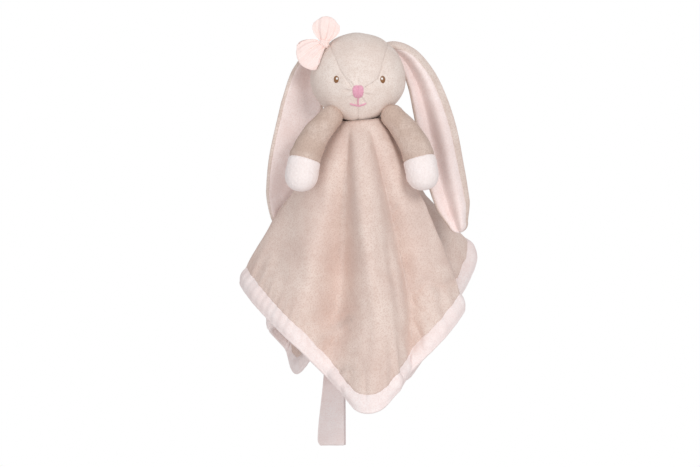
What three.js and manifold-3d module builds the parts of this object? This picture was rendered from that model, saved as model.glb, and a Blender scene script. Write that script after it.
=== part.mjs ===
// A comfort blanket lovey: a stuffed rabbit's head with lop ears, two arms and a bow, sewn to the
// middle of a lined square blanket that hangs in folds, with a pacifier strap at its back corner.
// Millimetres, +Z up, the face looks along -Y, +X is the viewer's right.
// The origin is the crown of the head, where the toy is held up.

import * as THREE from 'three';
import { mergeVertices } from 'three/addons/utils/BufferGeometryUtils.js';
import Module from 'manifold-3d';

const wasm = await Module();
wasm.setup();

// Head
const HEAD_WIDTH = 80;
const HEAD_HEIGHT = 75;
const HEAD_DEPTH = 68;
const MUZZLE_RISE = 4;
const CHIN_DROP = 4.5;
const CHIN_WIDTH = 36;
const CHIN_DEPTH = 22;
const CHIN_AHEAD = 16;
const SKIN = 1.8;
const HEAD_TURNS = 20;
const HEAD_RINGS = 13;

// Cloth clearances
const SEAM_GAP = 0.3;
const LAYER_GAP = 0.5;
const SEAT_GAP = 0.35;
const NECK_SEAT = 0.8;
const OVERRUN = 20;

// Face embroidery
const EYE_WIDTH = 4.2;
const EYE_HEIGHT = 6;
const THREAD = 0.9;
const GLINT_WIDTH = 1.5;
const NOSE_WIDTH = 9.2;
const NOSE_HEIGHT = 10;
const MOUTH_LINE = 1.1;
const MOUTH_WIDTH = 13;
const MOUTH_DROP = 5.4;

// Ears
const EAR_LENGTH = 160;
const EAR_WIDTH = 38;
const EAR_LINING = 1.6;
const EAR_EDGE = 3;
const EAR_ROLL = 9;

// Arms
const ARM_LENGTH = 70;
const SHOULDER_RADIUS = 8.5;
const CUFF_RADIUS = 11.8;
const PAW_RADIUS = 12.6;
const PAW_LENGTH = 28;
const PAW_END = 10.5;
const ARM_STEPS = 6;
const ARM_TURNS = 11;

// Bow
const BOW_LOOP_LENGTH = 16.5;
const BOW_LOOP_WIDTH = 22;
const BOW_LOOP_PUFF = 9.5;
const BOW_KNOT = 8.4;

// Blanket
const BLANKET_SIDE = 372;
const BLANKET_CORNER = 22;
const FACE_CLOTH = 1.5;
const LINING_CLOTH = 1.2;
const BORDER_WIDTH = 12;
const BORDER_RISE = 0.3;
const NECK_RADIUS = 16;
const NECK_OFFSET = 3.6;
const APEX_DEPTH = 5;

// Pacifier strap
const STRAP_WIDTH = 23;
const STRAP_CLOTH = 1.6;
const STRAP_DROP = 78;
const STRAP_LEAN = 3.1;
const STRAP_SHIFT = 1.7;
const STRAP_RISE = 0.9;
const STRAP_BEND = 11;
const CROWN_STEPS = 6;
const LOOP_GAP = 7;
const TAB_HEIGHT = 50;
const PATCH_WIDTH = 18;
const PATCH_HEIGHT = 14;
const PATCH_CLOTH = 1.1;

const TAUPE = '#d8c8be';
const TAUPE_SHADE = '#cdbbb0';
const PINK = '#f3e4e2';
const STUFFING = '#f4f1ee';

function fabric(color, roughness = 0.95) {
  return new THREE.MeshStandardMaterial({ color, roughness, metalness: 0 });
}

const velour = fabric(TAUPE);
const darkVelour = fabric(TAUPE_SHADE);
const pinkVelour = fabric(PINK);
const pawPlush = fabric('#f0e7e6');
const cotton = fabric('#f8deda', 0.85);
const brownThread = fabric('#7a5230', 0.6);
const whiteThread = fabric('#ffffff', 0.6);
const roseThread = fabric('#d88fb0', 0.6);
const fibre = fabric(STUFFING, 1);
const hookTape = fabric('#f6efee', 0.7);

const part = new THREE.Group();

function add(name, geometry, material) {
  const mesh = new THREE.Mesh(geometry, material);
  mesh.name = name;
  part.add(mesh);
}

// Geometry tools

// Keeps only positions, merges shared corners and turns the faces outward.
function closed(geometry) {
  geometry.deleteAttribute('normal');
  geometry.deleteAttribute('uv');
  const merged = mergeVertices(geometry, 1e-4);
  const p = merged.attributes.position;
  const index = Array.from(merged.index.array);
  const corners = [];
  for (let i = 0; i < index.length; i += 3) {
    const [a, b, c] = index.slice(i, i + 3);
    if (a !== b && b !== c && a !== c) corners.push([a, b, c]);
  }
  const at = (i) => new THREE.Vector3().fromBufferAttribute(p, i);
  let volume = 0;
  for (const [a, b, c] of corners) volume += at(a).dot(at(b).cross(at(c)));
  const turned = volume < 0 ? corners.map(([a, b, c]) => [a, c, b]) : corners;
  merged.setIndex(turned.flat());
  merged.computeVertexNormals();
  return merged;
}

function fromPoints(points, triangles) {
  const geometry = new THREE.BufferGeometry();
  const flat = points.flatMap((p) => [p.x, p.y, p.z]);
  geometry.setAttribute('position', new THREE.Float32BufferAttribute(flat, 3));
  geometry.setIndex(triangles.flat());
  return closed(geometry);
}

function toSolid(geometry) {
  const vertProperties = new Float32Array(geometry.attributes.position.array);
  const triVerts = new Uint32Array(geometry.index.array);
  return new wasm.Manifold(new wasm.Mesh({ numProp: 3, vertProperties, triVerts }));
}

function fromSolid(solid) {
  const mesh = solid.getMesh();
  const geometry = new THREE.BufferGeometry();
  geometry.setAttribute('position', new THREE.BufferAttribute(mesh.vertProperties, 3));
  geometry.setIndex(new THREE.BufferAttribute(mesh.triVerts, 1));
  geometry.computeVertexNormals();
  return geometry;
}

// A ball whose every unit direction is carried to place(direction).
function ball(segments, rings, place) {
  const geometry = new THREE.SphereGeometry(1, segments, rings);
  const p = geometry.attributes.position;
  const v = new THREE.Vector3();
  for (let i = 0; i < p.count; i += 1) {
    const q = place(v.fromBufferAttribute(p, i).clone());
    p.setXYZ(i, q.x, q.y, q.z);
  }
  return closed(geometry);
}

// A sheet solid between two grids of points, grid[row][column]. Around: the columns close on themselves.
function slab(front, back, around) {
  const rows = front.length;
  const columns = front[0].length;
  const points = [...front.flat(), ...back.flat()];
  const id = (side, r, c) => side * rows * columns + r * columns + (c % columns);
  const triangles = [];
  const quad = (a, b, c, d) => triangles.push([a, b, c], [a, c, d]);
  const last = around ? columns : columns - 1;
  for (let r = 0; r < rows - 1; r += 1) {
    for (let c = 0; c < last; c += 1) {
      quad(id(0, r, c), id(0, r + 1, c), id(0, r + 1, c + 1), id(0, r, c + 1));
      quad(id(1, r, c), id(1, r, c + 1), id(1, r + 1, c + 1), id(1, r + 1, c));
    }
    if (!around) {
      quad(id(0, r, 0), id(1, r, 0), id(1, r + 1, 0), id(0, r + 1, 0));
      quad(id(0, r, last), id(0, r + 1, last), id(1, r + 1, last), id(1, r, last));
    }
  }
  for (let c = 0; c < last; c += 1) {
    quad(id(0, 0, c), id(0, 0, c + 1), id(1, 0, c + 1), id(1, 0, c));
    quad(id(1, rows - 1, c), id(1, rows - 1, c + 1), id(0, rows - 1, c + 1), id(0, rows - 1, c));
  }
  return fromPoints(points, triangles);
}

// An outline in the XZ plane, made a prism from y = back to y = front.
function prism(outline, back, front) {
  const shape = new THREE.Shape(outline.map(([x, z]) => new THREE.Vector2(x, z)));
  const geometry = new THREE.ExtrudeGeometry(shape, { depth: back - front, bevelEnabled: false });
  geometry.rotateX(Math.PI / 2);
  geometry.translate(0, back, 0);
  return toSolid(closed(geometry));
}

const smooth = (t) => {
  const u = THREE.MathUtils.clamp(t, 0, 1);
  return u * u * (3 - 2 * u);
};
const bell = (x, width) => Math.exp(-((x / width) ** 2));

// Head: a ball that swells at the cheeks and rises at the muzzle, with its crown at the origin.

const CHEEK_SHARE = 0.035;
const CHEEK_LEVEL_SHARE = -0.35;
const CHEEK_SPREAD_SHARE = 0.5;
const MUZZLE_LEVEL_SHARE = -0.36;
const MUZZLE_SPREAD_SHARE = 0.4;
const CHIN_LEVEL_SHARE = 0.67;

const headX = (share) => (share * HEAD_WIDTH) / 2;
const headZ = (share) => (share * HEAD_HEIGHT) / 2 - HEAD_HEIGHT / 2;

// How far the chin sags below the ball above a point of the plan.
function chinSag(x, y) {
  return CHIN_DROP * bell(Math.hypot((2 * x) / CHIN_WIDTH, (2 * (y + CHIN_AHEAD)) / CHIN_DEPTH), 1);
}

function headPoint(d, grow) {
  const cheek = 1 + CHEEK_SHARE * bell(d.z - CHEEK_LEVEL_SHARE, CHEEK_SPREAD_SHARE);
  const muzzle = d.y < 0
    ? MUZZLE_RISE * bell(Math.hypot(d.x, d.z - MUZZLE_LEVEL_SHARE), MUZZLE_SPREAD_SHARE)
    : 0;
  const x = (HEAD_WIDTH / 2 + grow) * d.x * cheek;
  const y = (HEAD_DEPTH / 2 + grow) * d.y - muzzle;
  const sag = chinSag(x, y) * smooth(-d.z / CHIN_LEVEL_SHARE);
  return new THREE.Vector3(x, y, (HEAD_HEIGHT / 2 + grow) * d.z - HEAD_HEIGHT / 2 - sag);
}

function head(grow) {
  return ball(HEAD_TURNS, HEAD_RINGS, (d) => headPoint(d, grow));
}

// Height of the head's underside above a point of the plan.
function undersideZ(x, y) {
  const across = Math.hypot(x / (HEAD_WIDTH / 2), y / (HEAD_DEPTH / 2));
  return headZ(-Math.sqrt(Math.max(1 - across ** 2, 0))) - chinSag(x, y);
}

const BACK_SEAM_SHARE = 0.12;
const HEAD_SEAM_Y = HEAD_DEPTH * BACK_SEAM_SHARE;
const LEFT_SEAM_SHARES = [[-0.78, 1.4], [-0.6, 0.66], [-0.385, 0.09], [-0.15, -0.3]];
const RIGHT_SEAM_SHARES = [[0.8, 1.4], [0.63, 0.66], [0.44, -0.1], [0.17, -0.3]];

function headPanels() {
  const shell = toSolid(head(0)).subtract(toSolid(head(-SKIN)));
  const half = SEAM_GAP / 2;
  const line = (shares, shift) => shares.map(([x, z]) => [headX(x) + shift, headZ(z)]);
  const reach = HEAD_WIDTH / 2 + OVERRUN;
  const top = headZ(LEFT_SEAM_SHARES[0][1]);
  const floor = -HEAD_HEIGHT - OVERRUN;
  const noseZ = headZ(LEFT_SEAM_SHARES.at(-1)[1]) - SEAM_GAP;
  const front = -HEAD_DEPTH / 2 - OVERRUN;
  const crown = [...line(LEFT_SEAM_SHARES, half), ...line(RIGHT_SEAM_SHARES, -half).reverse()];
  const left = [
    [-reach, top], ...line(LEFT_SEAM_SHARES, -half), [-half, noseZ], [-half, floor], [-reach, floor],
  ];
  const right = [
    [reach, top], ...line(RIGHT_SEAM_SHARES, half), [half, noseZ], [half, floor], [reach, floor],
  ];
  const back = [[-reach, top], [reach, top], [reach, floor], [-reach, floor]];
  const cut = (outline, from, to) => fromSolid(shell.intersect(prism(outline, from, to)));
  add('head_crown_panel', cut(crown, HEAD_SEAM_Y - half, front), velour);
  add('head_cheek_left', cut(left, HEAD_SEAM_Y - half, front), velour);
  add('head_cheek_right', cut(right, HEAD_SEAM_Y - half, front), velour);
  add('head_back_panel', cut(back, HEAD_DEPTH / 2 + OVERRUN, HEAD_SEAM_Y + half), velour);
}

function headStuffing() {
  add('head_stuffing', head(-SKIN - SEAM_GAP), fibre);
}

// Embroidery: thread lies on the face, cut from a layer that follows the head.

function oval(x, z, width, height, turns) {
  return Array.from({ length: turns }, (_, i) => {
    const a = (i / turns) * 2 * Math.PI;
    return [x + (width / 2) * Math.cos(a), z + (height / 2) * Math.sin(a)];
  });
}

function onFace(outline, from, to) {
  const layer = toSolid(head(to)).subtract(toSolid(head(from)));
  return fromSolid(layer.intersect(prism(outline, 0, -HEAD_DEPTH / 2 - OVERRUN)));
}

const EYE_LEVEL_SHARE = -0.12;
const LEFT_EYE_SHARE = -0.47;
const RIGHT_EYE_SHARE = 0.53;
const NOSE_LEVEL_SHARE = -0.36;
const GLINT_SHARE = 0.2;
const NOSE_FLARE_SHARE = 0.12;
const NOSE_TOP_SHARE = 0.8;
const NOSE_PILE_SHARE = 1.5;
const SMILE_SHARE = 1.6;
const MOUTH_SHARES = [-1, -0.66, -0.33, 0, 0.33, 0.66, 1];
const OVAL_TURNS = 14;
const NOSE_TURNS = 18;
const GLINT_TURNS = 8;

function eyes() {
  const places = { left: [LEFT_EYE_SHARE, 1], right: [RIGHT_EYE_SHARE, -1] };
  const z = headZ(EYE_LEVEL_SHARE);
  for (const [side, [share, inward]] of Object.entries(places)) {
    const x = headX(share);
    const eye = oval(x, z, EYE_WIDTH, EYE_HEIGHT, OVAL_TURNS);
    const glintX = x + inward * GLINT_SHARE * EYE_WIDTH;
    const glint = oval(glintX, z + GLINT_SHARE * EYE_HEIGHT, GLINT_WIDTH, GLINT_WIDTH, GLINT_TURNS);
    const top = SEAT_GAP + THREAD;
    add(`eye_${side}`, onFace(eye, SEAT_GAP, top), brownThread);
    add(`eye_glint_${side}`, onFace(glint, top + SEAT_GAP, top + SEAT_GAP + THREAD / 2), whiteThread);
  }
}

function nose() {
  const z = headZ(NOSE_LEVEL_SHARE);
  const outline = oval(0, z, NOSE_WIDTH, NOSE_HEIGHT, NOSE_TURNS).map(([x, y]) => {
    const up = (y - z) / (NOSE_HEIGHT / 2);
    return [x * (1 + NOSE_FLARE_SHARE * up), Math.min(y, z + NOSE_TOP_SHARE * (NOSE_HEIGHT / 2))];
  });
  const distinct = outline.filter(([x, y], i) => {
    const [px, py] = outline.at(i - 1);
    return Math.hypot(x - px, y - py) > THREAD / 10;
  });
  add('nose_embroidery', onFace(distinct, SEAT_GAP, SEAT_GAP + NOSE_PILE_SHARE * THREAD), roseThread);
}

function mouth() {
  const top = headZ(NOSE_LEVEL_SHARE) - NOSE_HEIGHT / 2 - SEAT_GAP;
  const low = top - MOUTH_DROP;
  const half = MOUTH_LINE / 2;
  const smile = (x) => low + MOUTH_LINE * SMILE_SHARE * (x / (MOUTH_WIDTH / 2)) ** 2;
  const across = MOUTH_SHARES.map((share) => (share * MOUTH_WIDTH) / 2);
  const under = across.map((x) => [x, smile(x) - half]);
  const over = across.map((x) => [x, smile(x) + half]).reverse();
  const right = over.filter(([x]) => x > half);
  const left = over.filter(([x]) => x < -half);
  const stem = [[half, low + half], [half, top], [-half, top], [-half, low + half]];
  const outline = [...under, ...right, ...stem, ...left];
  add('mouth_embroidery', onFace(outline, SEAT_GAP, SEAT_GAP + THREAD), roseThread);
}

// Ears: two cloths sewn round their edge. Each row of a station table is a place on the middle line
// (x and z from the root, y from front to back) and a width, all as shares of the ear's length or width.

const LEFT_ROOT_SHARES = [-0.87, 0.2, 0.6];
const LEFT_EAR_ROOT = earRoot(LEFT_ROOT_SHARES);
const LEFT_EAR_SHARES = [
  [0, 0, 0, 0.26], [-0.062, 0.03, -0.12, 0.58], [-0.085, 0.07, -0.29, 0.9], [-0.135, 0.1, -0.56, 1],
  [-0.178, 0.14, -0.77, 0.82], [-0.19, 0.17, -0.9, 0.5], [-0.195, 0.18, -0.965, 0.16],
];
const RIGHT_ROOT_SHARES = [0.79, 0.16, 0.66];
const RIGHT_EAR_ROOT = earRoot(RIGHT_ROOT_SHARES);
const RIGHT_EAR_SHARES = [
  [0, 0, 0, 0.3], [0.075, 0.01, -0.05, 0.47], [0.147, 0.02, -0.165, 0.64], [0.197, 0.03, -0.31, 0.78],
  [0.238, 0.04, -0.48, 0.86], [0.278, 0.045, -0.68, 0.84], [0.318, 0.05, -0.84, 0.72],
  [0.345, 0.055, -0.94, 0.4],
];

const EAR_STATIONS = 10;
const EAR_COLUMNS = 7;
const EAR_FULL_SHARE = 0.6;
const EAR_BULK_POWER = 0.5;

function earRoot([x, y, z]) {
  return new THREE.Vector3(headX(x), y * HEAD_DEPTH, headZ(z));
}

// Depth of the lining across the ear, from the inner edge (0) to the outer edge (1), forward positive.
// The left ear's outer edge turns forward and its middle is hollow. The right ear is folded along its
// length: a gutter, and a roll beside it.
const LEFT_PAD_SHARE = 0.1;
const RIGHT_PAD_SHARE = 0.3;
const TURN_SHARE = 0.34;
const TURN_FADE_SHARE = 0.5;
const HOLLOW_SHARE = 0.1;
const GUTTER = { depthShare: 0.14, placeShare: 0.3, driftShare: 0.06, widthShare: 0.17 };
const ROLL = { depthShare: 0.15, growShare: 0.05, placeShare: 0.66, widthShare: 0.24 };

function leftEarFront(a, s) {
  const turn = TURN_SHARE * smooth(a) * (1 - TURN_FADE_SHARE * s);
  return EAR_WIDTH * (turn - HOLLOW_SHARE * Math.sin(Math.PI * a));
}

function rightEarFront(a, s) {
  const gutter = bell(a - GUTTER.placeShare - GUTTER.driftShare * s, GUTTER.widthShare);
  const rolled = bell(a - ROLL.placeShare, ROLL.widthShare);
  return EAR_WIDTH * ((ROLL.depthShare + ROLL.growShare * s) * rolled - GUTTER.depthShare * gutter);
}

function ear(root, shares, depthAt, roll, out) {
  const middle = new THREE.CatmullRomCurve3(shares.map(([x, y, z]) => new THREE.Vector3(x, y, z)));
  const widths = new THREE.CatmullRomCurve3(shares.map((row) => new THREE.Vector3(row[3], 0, 0)));
  const point = (s, a, behind) => {
    const c = middle.getPoint(s).multiplyScalar(EAR_LENGTH).add(root);
    const t = middle.getTangent(s);
    const flat = new THREE.Vector3(-t.z, 0, t.x).normalize().multiplyScalar(-out);
    const w = EAR_WIDTH * widths.getPoint(s).x;
    const size = Math.min(1, w / (EAR_WIDTH * EAR_FULL_SHARE));
    c.addScaledVector(flat, (a - 0.5) * w);
    c.y -= depthAt(a, s) * size - behind * size ** EAR_BULK_POWER;
    return c;
  };
  const grid = (behind) => Array.from({ length: EAR_STATIONS }, (_, i) =>
    Array.from({ length: EAR_COLUMNS }, (_, j) => {
      const a = j / (EAR_COLUMNS - 1);
      return point(i / (EAR_STATIONS - 1), a, behind(a));
    }));
  const backing = (a) => EAR_LINING + EAR_EDGE + roll * Math.sin(Math.PI * a) ** 2;
  return {
    lining: slab(grid(() => 0), grid(() => EAR_LINING), false),
    outer: slab(grid(() => EAR_LINING + LAYER_GAP), grid(backing), false),
  };
}

function ears() {
  const left = ear(LEFT_EAR_ROOT, LEFT_EAR_SHARES, leftEarFront, EAR_ROLL * LEFT_PAD_SHARE, -1);
  const clear = toSolid(head(SEAT_GAP));
  const beside = (geometry) => fromSolid(toSolid(geometry).subtract(clear));
  add('ear_left_outer', beside(left.outer), velour);
  add('ear_left_lining', beside(left.lining), pinkVelour);
  const right = ear(RIGHT_EAR_ROOT, RIGHT_EAR_SHARES, rightEarFront, EAR_ROLL * RIGHT_PAD_SHARE, 1);
  add('ear_right_outer', beside(right.outer), velour);
  add('ear_right_lining', beside(right.lining), pinkVelour);
}

// Arms: a sleeve with a rounded shoulder, and a paw sewn to it at the cuff. The profile is turned round
// a straight axis and then carried along the arm's bent middle line.

const SHOULDER_SHARES = { left: [-0.44, -0.37, -0.8], right: [0.59, -0.33, -0.735] };
const ARM_BEND_SHARES = [
  [0, 0, 0], [-0.19, -0.08, -0.2], [-0.34, -0.14, -0.465], [-0.39, -0.165, -0.7], [-0.42, -0.175, -0.93],
];
const PAW_SWELL_SHARE = 0.35;
const SHOULDER_STEPS_SHARE = 0.4;
const PAW_STEPS_SHARE = 0.5;

function armRadius(h, shrink) {
  const cuff = ARM_LENGTH - PAW_LENGTH;
  if (h < cuff) {
    return SHOULDER_RADIUS + (CUFF_RADIUS - SHOULDER_RADIUS) * smooth(h / cuff) - shrink;
  }
  const swell = smooth((h - cuff) / (PAW_LENGTH * PAW_SWELL_SHARE));
  return CUFF_RADIUS + (PAW_RADIUS - CUFF_RADIUS) * swell - shrink;
}

// Profile points from one height to another, round at the shoulder and at the paw's end.
function armProfile(from, to, shrink, steps) {
  const cuff = ARM_LENGTH - PAW_LENGTH;
  const endRise = ARM_LENGTH - PAW_END;
  const shoulder = from < 0;
  const paw = to > cuff;
  const low = shoulder ? SHOULDER_STEPS_SHARE : 0;
  const high = paw ? PAW_STEPS_SHARE : 1;
  return Array.from({ length: steps + 1 }, (_, i) => {
    const share = i / steps;
    if (shoulder && share < low) {
      const a = (share / low) * (Math.PI / 2);
      const r = SHOULDER_RADIUS - shrink;
      return new THREE.Vector2(r * Math.sin(a), -r * Math.cos(a));
    }
    if (paw && share > high) {
      const a = ((share - high) / (1 - high)) * (Math.PI / 2);
      const across = (PAW_RADIUS - shrink) * Math.cos(a);
      return new THREE.Vector2(across, endRise + (PAW_END - shrink) * Math.sin(a));
    }
    const start = shoulder ? 0 : from;
    const end = paw ? endRise : to;
    const h = start + (end - start) * ((share - low) / (high - low));
    return new THREE.Vector2(armRadius(h, shrink), h);
  });
}

function bendArm(profile, side) {
  const geometry = new THREE.LatheGeometry(profile, ARM_TURNS);
  const curve = new THREE.CatmullRomCurve3(ARM_BEND_SHARES.map(([x, y, z]) =>
    new THREE.Vector3(side * -x, y, z).multiplyScalar(ARM_LENGTH)));
  const length = curve.getLength();
  const pivot = armPivot(side);
  const front = new THREE.Vector3(0, -1, 0);
  const p = geometry.attributes.position;
  for (let i = 0; i < p.count; i += 1) {
    const share = p.getY(i) / length;
    const on = THREE.MathUtils.clamp(share, 0, 1);
    const tangent = curve.getTangentAt(on);
    const across = new THREE.Vector3().crossVectors(tangent, front).normalize();
    const forward = new THREE.Vector3().crossVectors(across, tangent).normalize();
    const q = curve.getPointAt(on).addScaledVector(tangent, (share - on) * length);
    q.addScaledVector(across, p.getX(i)).addScaledVector(forward, p.getZ(i)).add(pivot);
    p.setXYZ(i, q.x, q.y, q.z);
  }
  return closed(geometry);
}

function armPivot(side) {
  const direction = new THREE.Vector3(...SHOULDER_SHARES[side < 0 ? 'left' : 'right']).normalize();
  return headPoint(direction, SHOULDER_RADIUS + SEAT_GAP);
}

function arms() {
  const cuff = ARM_LENGTH - PAW_LENGTH;
  const gap = SEAM_GAP / 2;
  const end = ARM_LENGTH;
  for (const [name, side] of [['left', -1], ['right', 1]]) {
    const sleeve = [
      ...armProfile(-SHOULDER_RADIUS, cuff - gap, 0, ARM_STEPS),
      ...armProfile(-SHOULDER_RADIUS, cuff - gap, SKIN, ARM_STEPS).reverse(),
    ];
    const paw = [
      ...armProfile(cuff + gap, end, 0, ARM_STEPS).reverse(), ...armProfile(cuff + gap, end, SKIN, ARM_STEPS),
    ];
    add(`arm_${name}_sleeve`, bendArm(sleeve, side), darkVelour);
    add(`arm_${name}_paw`, bendArm(paw, side), pawPlush);
    const filling = [
      ...armProfile(-SHOULDER_RADIUS, cuff, SKIN + SEAM_GAP, ARM_STEPS).slice(0, -1),
      ...armProfile(cuff, end, SKIN + SEAM_GAP, ARM_STEPS),
    ];
    add(`arm_${name}_stuffing`, bendArm(filling, side), fibre);
  }
}

// Bow: two puffed loops drawn in at a knot on the head's upper left.

const KNOT_DIRECTION = new THREE.Vector3(-0.651, -0.371, 0.662).normalize();
const UPPER_LOOP = new THREE.Vector3(0.12, -0.1, 1).normalize();
const LOWER_LOOP = new THREE.Vector3(-0.8, -0.16, -0.58).normalize();
const PLEATS = 4;
const KNOT_SEAT_SHARE = 0.42;
const KNOT_CREASES = 3;
const KNOT_PINCH_SHARE = 0.1;
const KNOT_TURNS = 12;
const KNOT_RINGS = 8;
const LOWER_LOOP_SIZE = 1.25;
const LOOP_ROWS = 7;
const LOOP_COLUMNS = 11;

// How wide, how far along and how thick a loop is at a share of its way, all as shares.
const LOOP_FAN = {
  startShare: 0.12, riseShare: 0.95, turnShare: 0.62, closeFromShare: 0.7, closeShare: 0.35,
};
const LOOP_ROUND_SHARE = 0.22;
const LOOP_PUFF = { edgeShare: 0.09, middleShare: 0.41, startShare: 0.12, riseShare: 0.8, pleatShare: 0.05 };

function knotCentre() {
  return headPoint(KNOT_DIRECTION, SEAT_GAP + BOW_KNOT * KNOT_SEAT_SHARE);
}

function bowLoop(direction, size) {
  const front = new THREE.Vector3(0, -1, 0);
  const across = new THREE.Vector3().crossVectors(direction, front).normalize();
  const lift = new THREE.Vector3().crossVectors(across, direction).normalize();
  const start = BOW_KNOT / 2 + SEAT_GAP;
  const grid = (sign) => Array.from({ length: LOOP_ROWS }, (_, i) =>
    Array.from({ length: LOOP_COLUMNS }, (_, j) => {
      const s = i / (LOOP_ROWS - 1);
      const v = (2 * j) / (LOOP_COLUMNS - 1) - 1;
      const opened = Math.min(1, LOOP_FAN.startShare + LOOP_FAN.riseShare * s);
      const closing = smooth((s - LOOP_FAN.closeFromShare) / (1 - LOOP_FAN.closeFromShare));
      const fan = Math.sin(opened * Math.PI * LOOP_FAN.turnShare) * (1 - LOOP_FAN.closeShare * closing);
      const half = (BOW_LOOP_WIDTH / 2) * size * fan;
      const reach = start + BOW_LOOP_LENGTH * size * s * (1 - LOOP_ROUND_SHARE * v * v);
      const pleat = (1 - s) * LOOP_PUFF.pleatShare * Math.cos(PLEATS * Math.PI * v);
      const swell = Math.sin(Math.PI * (LOOP_PUFF.startShare + LOOP_PUFF.riseShare * s));
      const puff = swell * Math.sqrt(Math.max(1 - v * v, 0));
      const thick = BOW_LOOP_PUFF * (LOOP_PUFF.edgeShare + LOOP_PUFF.middleShare * puff + pleat);
      return knotCentre().addScaledVector(direction, reach).addScaledVector(across, v * half)
        .addScaledVector(lift, sign * thick);
    }));
  return slab(grid(1), grid(-1), false);
}

function bow() {
  const clear = toSolid(head(SEAT_GAP));
  const onHead = (geometry) => fromSolid(toSolid(geometry).subtract(clear));
  add('bow_loop_upper', onHead(bowLoop(UPPER_LOOP, 1)), cotton);
  add('bow_loop_lower', onHead(bowLoop(LOWER_LOOP, LOWER_LOOP_SIZE)), cotton);
  const knot = ball(KNOT_TURNS, KNOT_RINGS, (d) => {
    const crease = Math.hypot(d.x, d.z) * Math.cos(KNOT_CREASES * Math.atan2(d.z, d.x));
    const pinch = 1 - KNOT_PINCH_SHARE * crease;
    return d.multiplyScalar((BOW_KNOT / 2) * pinch).add(knotCentre());
  });
  add('bow_knot', onHead(knot), cotton);
}

// Blanket. Rays of cloth run from its middle, under the head, to the hem. Each row of the fold table is
// the direction that a ray hangs in, as shares of its length to the right and to the back, and how
// much it bows outward on the way. The rays between the rows lie on a smooth curve through them, and
// the angle between two rays in the flat cloth is the length of that curve between them, so that the
// cloth keeps its size. The first row is the front corner, and the rest follow to the viewer's right.

const FOLD_SHARES = [
  [0.02, -0.15, 0.2], [0.1, -0.12, 0.2], [0.17, -0.015, 0.2], [0.33, -0.045, 0.2],
  [0.485, 0.07, 0.25], [0.47, 0.14, 0.2], [0.02, 0.02, 0], [-0.045, 0.065, 0],
  [0, 0.17, -0.1], [0.55, 0.5, -0.4], [0.51, 0.61, -0.4], [0.12, 0.37, 0],
  [0.05, 0.36, 0], [-0.07, 0.5, 0], [-0.16, 0.48, 0], [-0.07, 0.15, 0],
  [-0.12, 0.1, 0], [-0.235, 0.61, 0.1], [-0.38, 0.48, 0.1], [-0.26, 0.453, 0.1],
  [-0.185, 0.12, 0.5], [-0.24, 0.03, 0.6], [-0.53, 0.16, 0.3], [-0.56, 0.08, 0.3],
  [-0.3, -0.06, 0.3], [-0.06, -0.02, 0.2],
];
const FOLD_STEPS = 40;
const TURN_WEIGHT = 0.12;
const COLUMNS = 72;
const CLOTH_ROWS = 6;
const FOLD_START_SHARE = 0.6;
const ROW_POWER = 1.15;
const MITRE_LIMIT = 1.35;
const SQUEEZE_SHARE = 0.45;
const THINNEST = 0.6;
const CONE_ANGLE = THREE.MathUtils.degToRad(33);

const APEX = new THREE.Vector3(NECK_OFFSET, 0, -HEAD_HEIGHT + APEX_DEPTH);

// Samples of the fold curve: hanging direction, bow and the angle in the flat cloth.
function foldCurve() {
  const count = FOLD_SHARES.length * FOLD_STEPS;
  const curve = new THREE.CatmullRomCurve3(
    FOLD_SHARES.map(([x, y, bow]) => new THREE.Vector3(x, y, bow)), true, 'centripetal',
  );
  const samples = Array.from({ length: count + 1 }, (_, i) => {
    const q = curve.getPoint((i % count) / count);
    const down = Math.sqrt(1 - q.x ** 2 - q.y ** 2);
    return { ray: new THREE.Vector3(q.x, q.y, -down), bow: q.z, angle: 0, weight: 0 };
  });
  for (let i = 1; i <= count; i += 1) {
    const [a, b] = [samples[i - 1], samples[i]];
    const c = samples[(i + 1) % count];
    const step = a.ray.distanceTo(b.ray);
    const along = b.ray.clone().sub(a.ray);
    const onward = c.ray.clone().sub(b.ray);
    b.angle = a.angle + step;
    b.weight = a.weight + step + TURN_WEIGHT * (i < count ? along.angleTo(onward) : 0);
  }
  return samples;
}

const folds = foldCurve();

function foldBetween(key, value) {
  let high = folds.findIndex((s) => s[key] >= value);
  if (high < 1) high = high === 0 ? 1 : folds.length - 1;
  const [a, b] = [folds[high - 1], folds[high]];
  const f = THREE.MathUtils.clamp((value - a[key]) / (b[key] - a[key] || 1), 0, 1);
  return {
    ray: a.ray.clone().lerp(b.ray, f).normalize(),
    bow: a.bow + (b.bow - a.bow) * f,
    angle: a.angle + (b.angle - a.angle) * f,
  };
}

// Length of a ray of the flat square, whose corners are round, at an angle from the front corner.
function clothReach(angle) {
  const half = BLANKET_SIDE / 2;
  const quarter = Math.PI / 2;
  const off = Math.abs(angle - quarter * Math.round(angle / quarter));
  const centre = (half - BLANKET_CORNER) * Math.SQRT2;
  const roundEnd = Math.PI / 4 - Math.atan2(half - BLANKET_CORNER, half);
  if (off < roundEnd) {
    return centre * Math.cos(off) + Math.sqrt(BLANKET_CORNER ** 2 - (centre * Math.sin(off)) ** 2);
  }
  return half / Math.cos(Math.PI / 4 - off);
}

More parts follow.
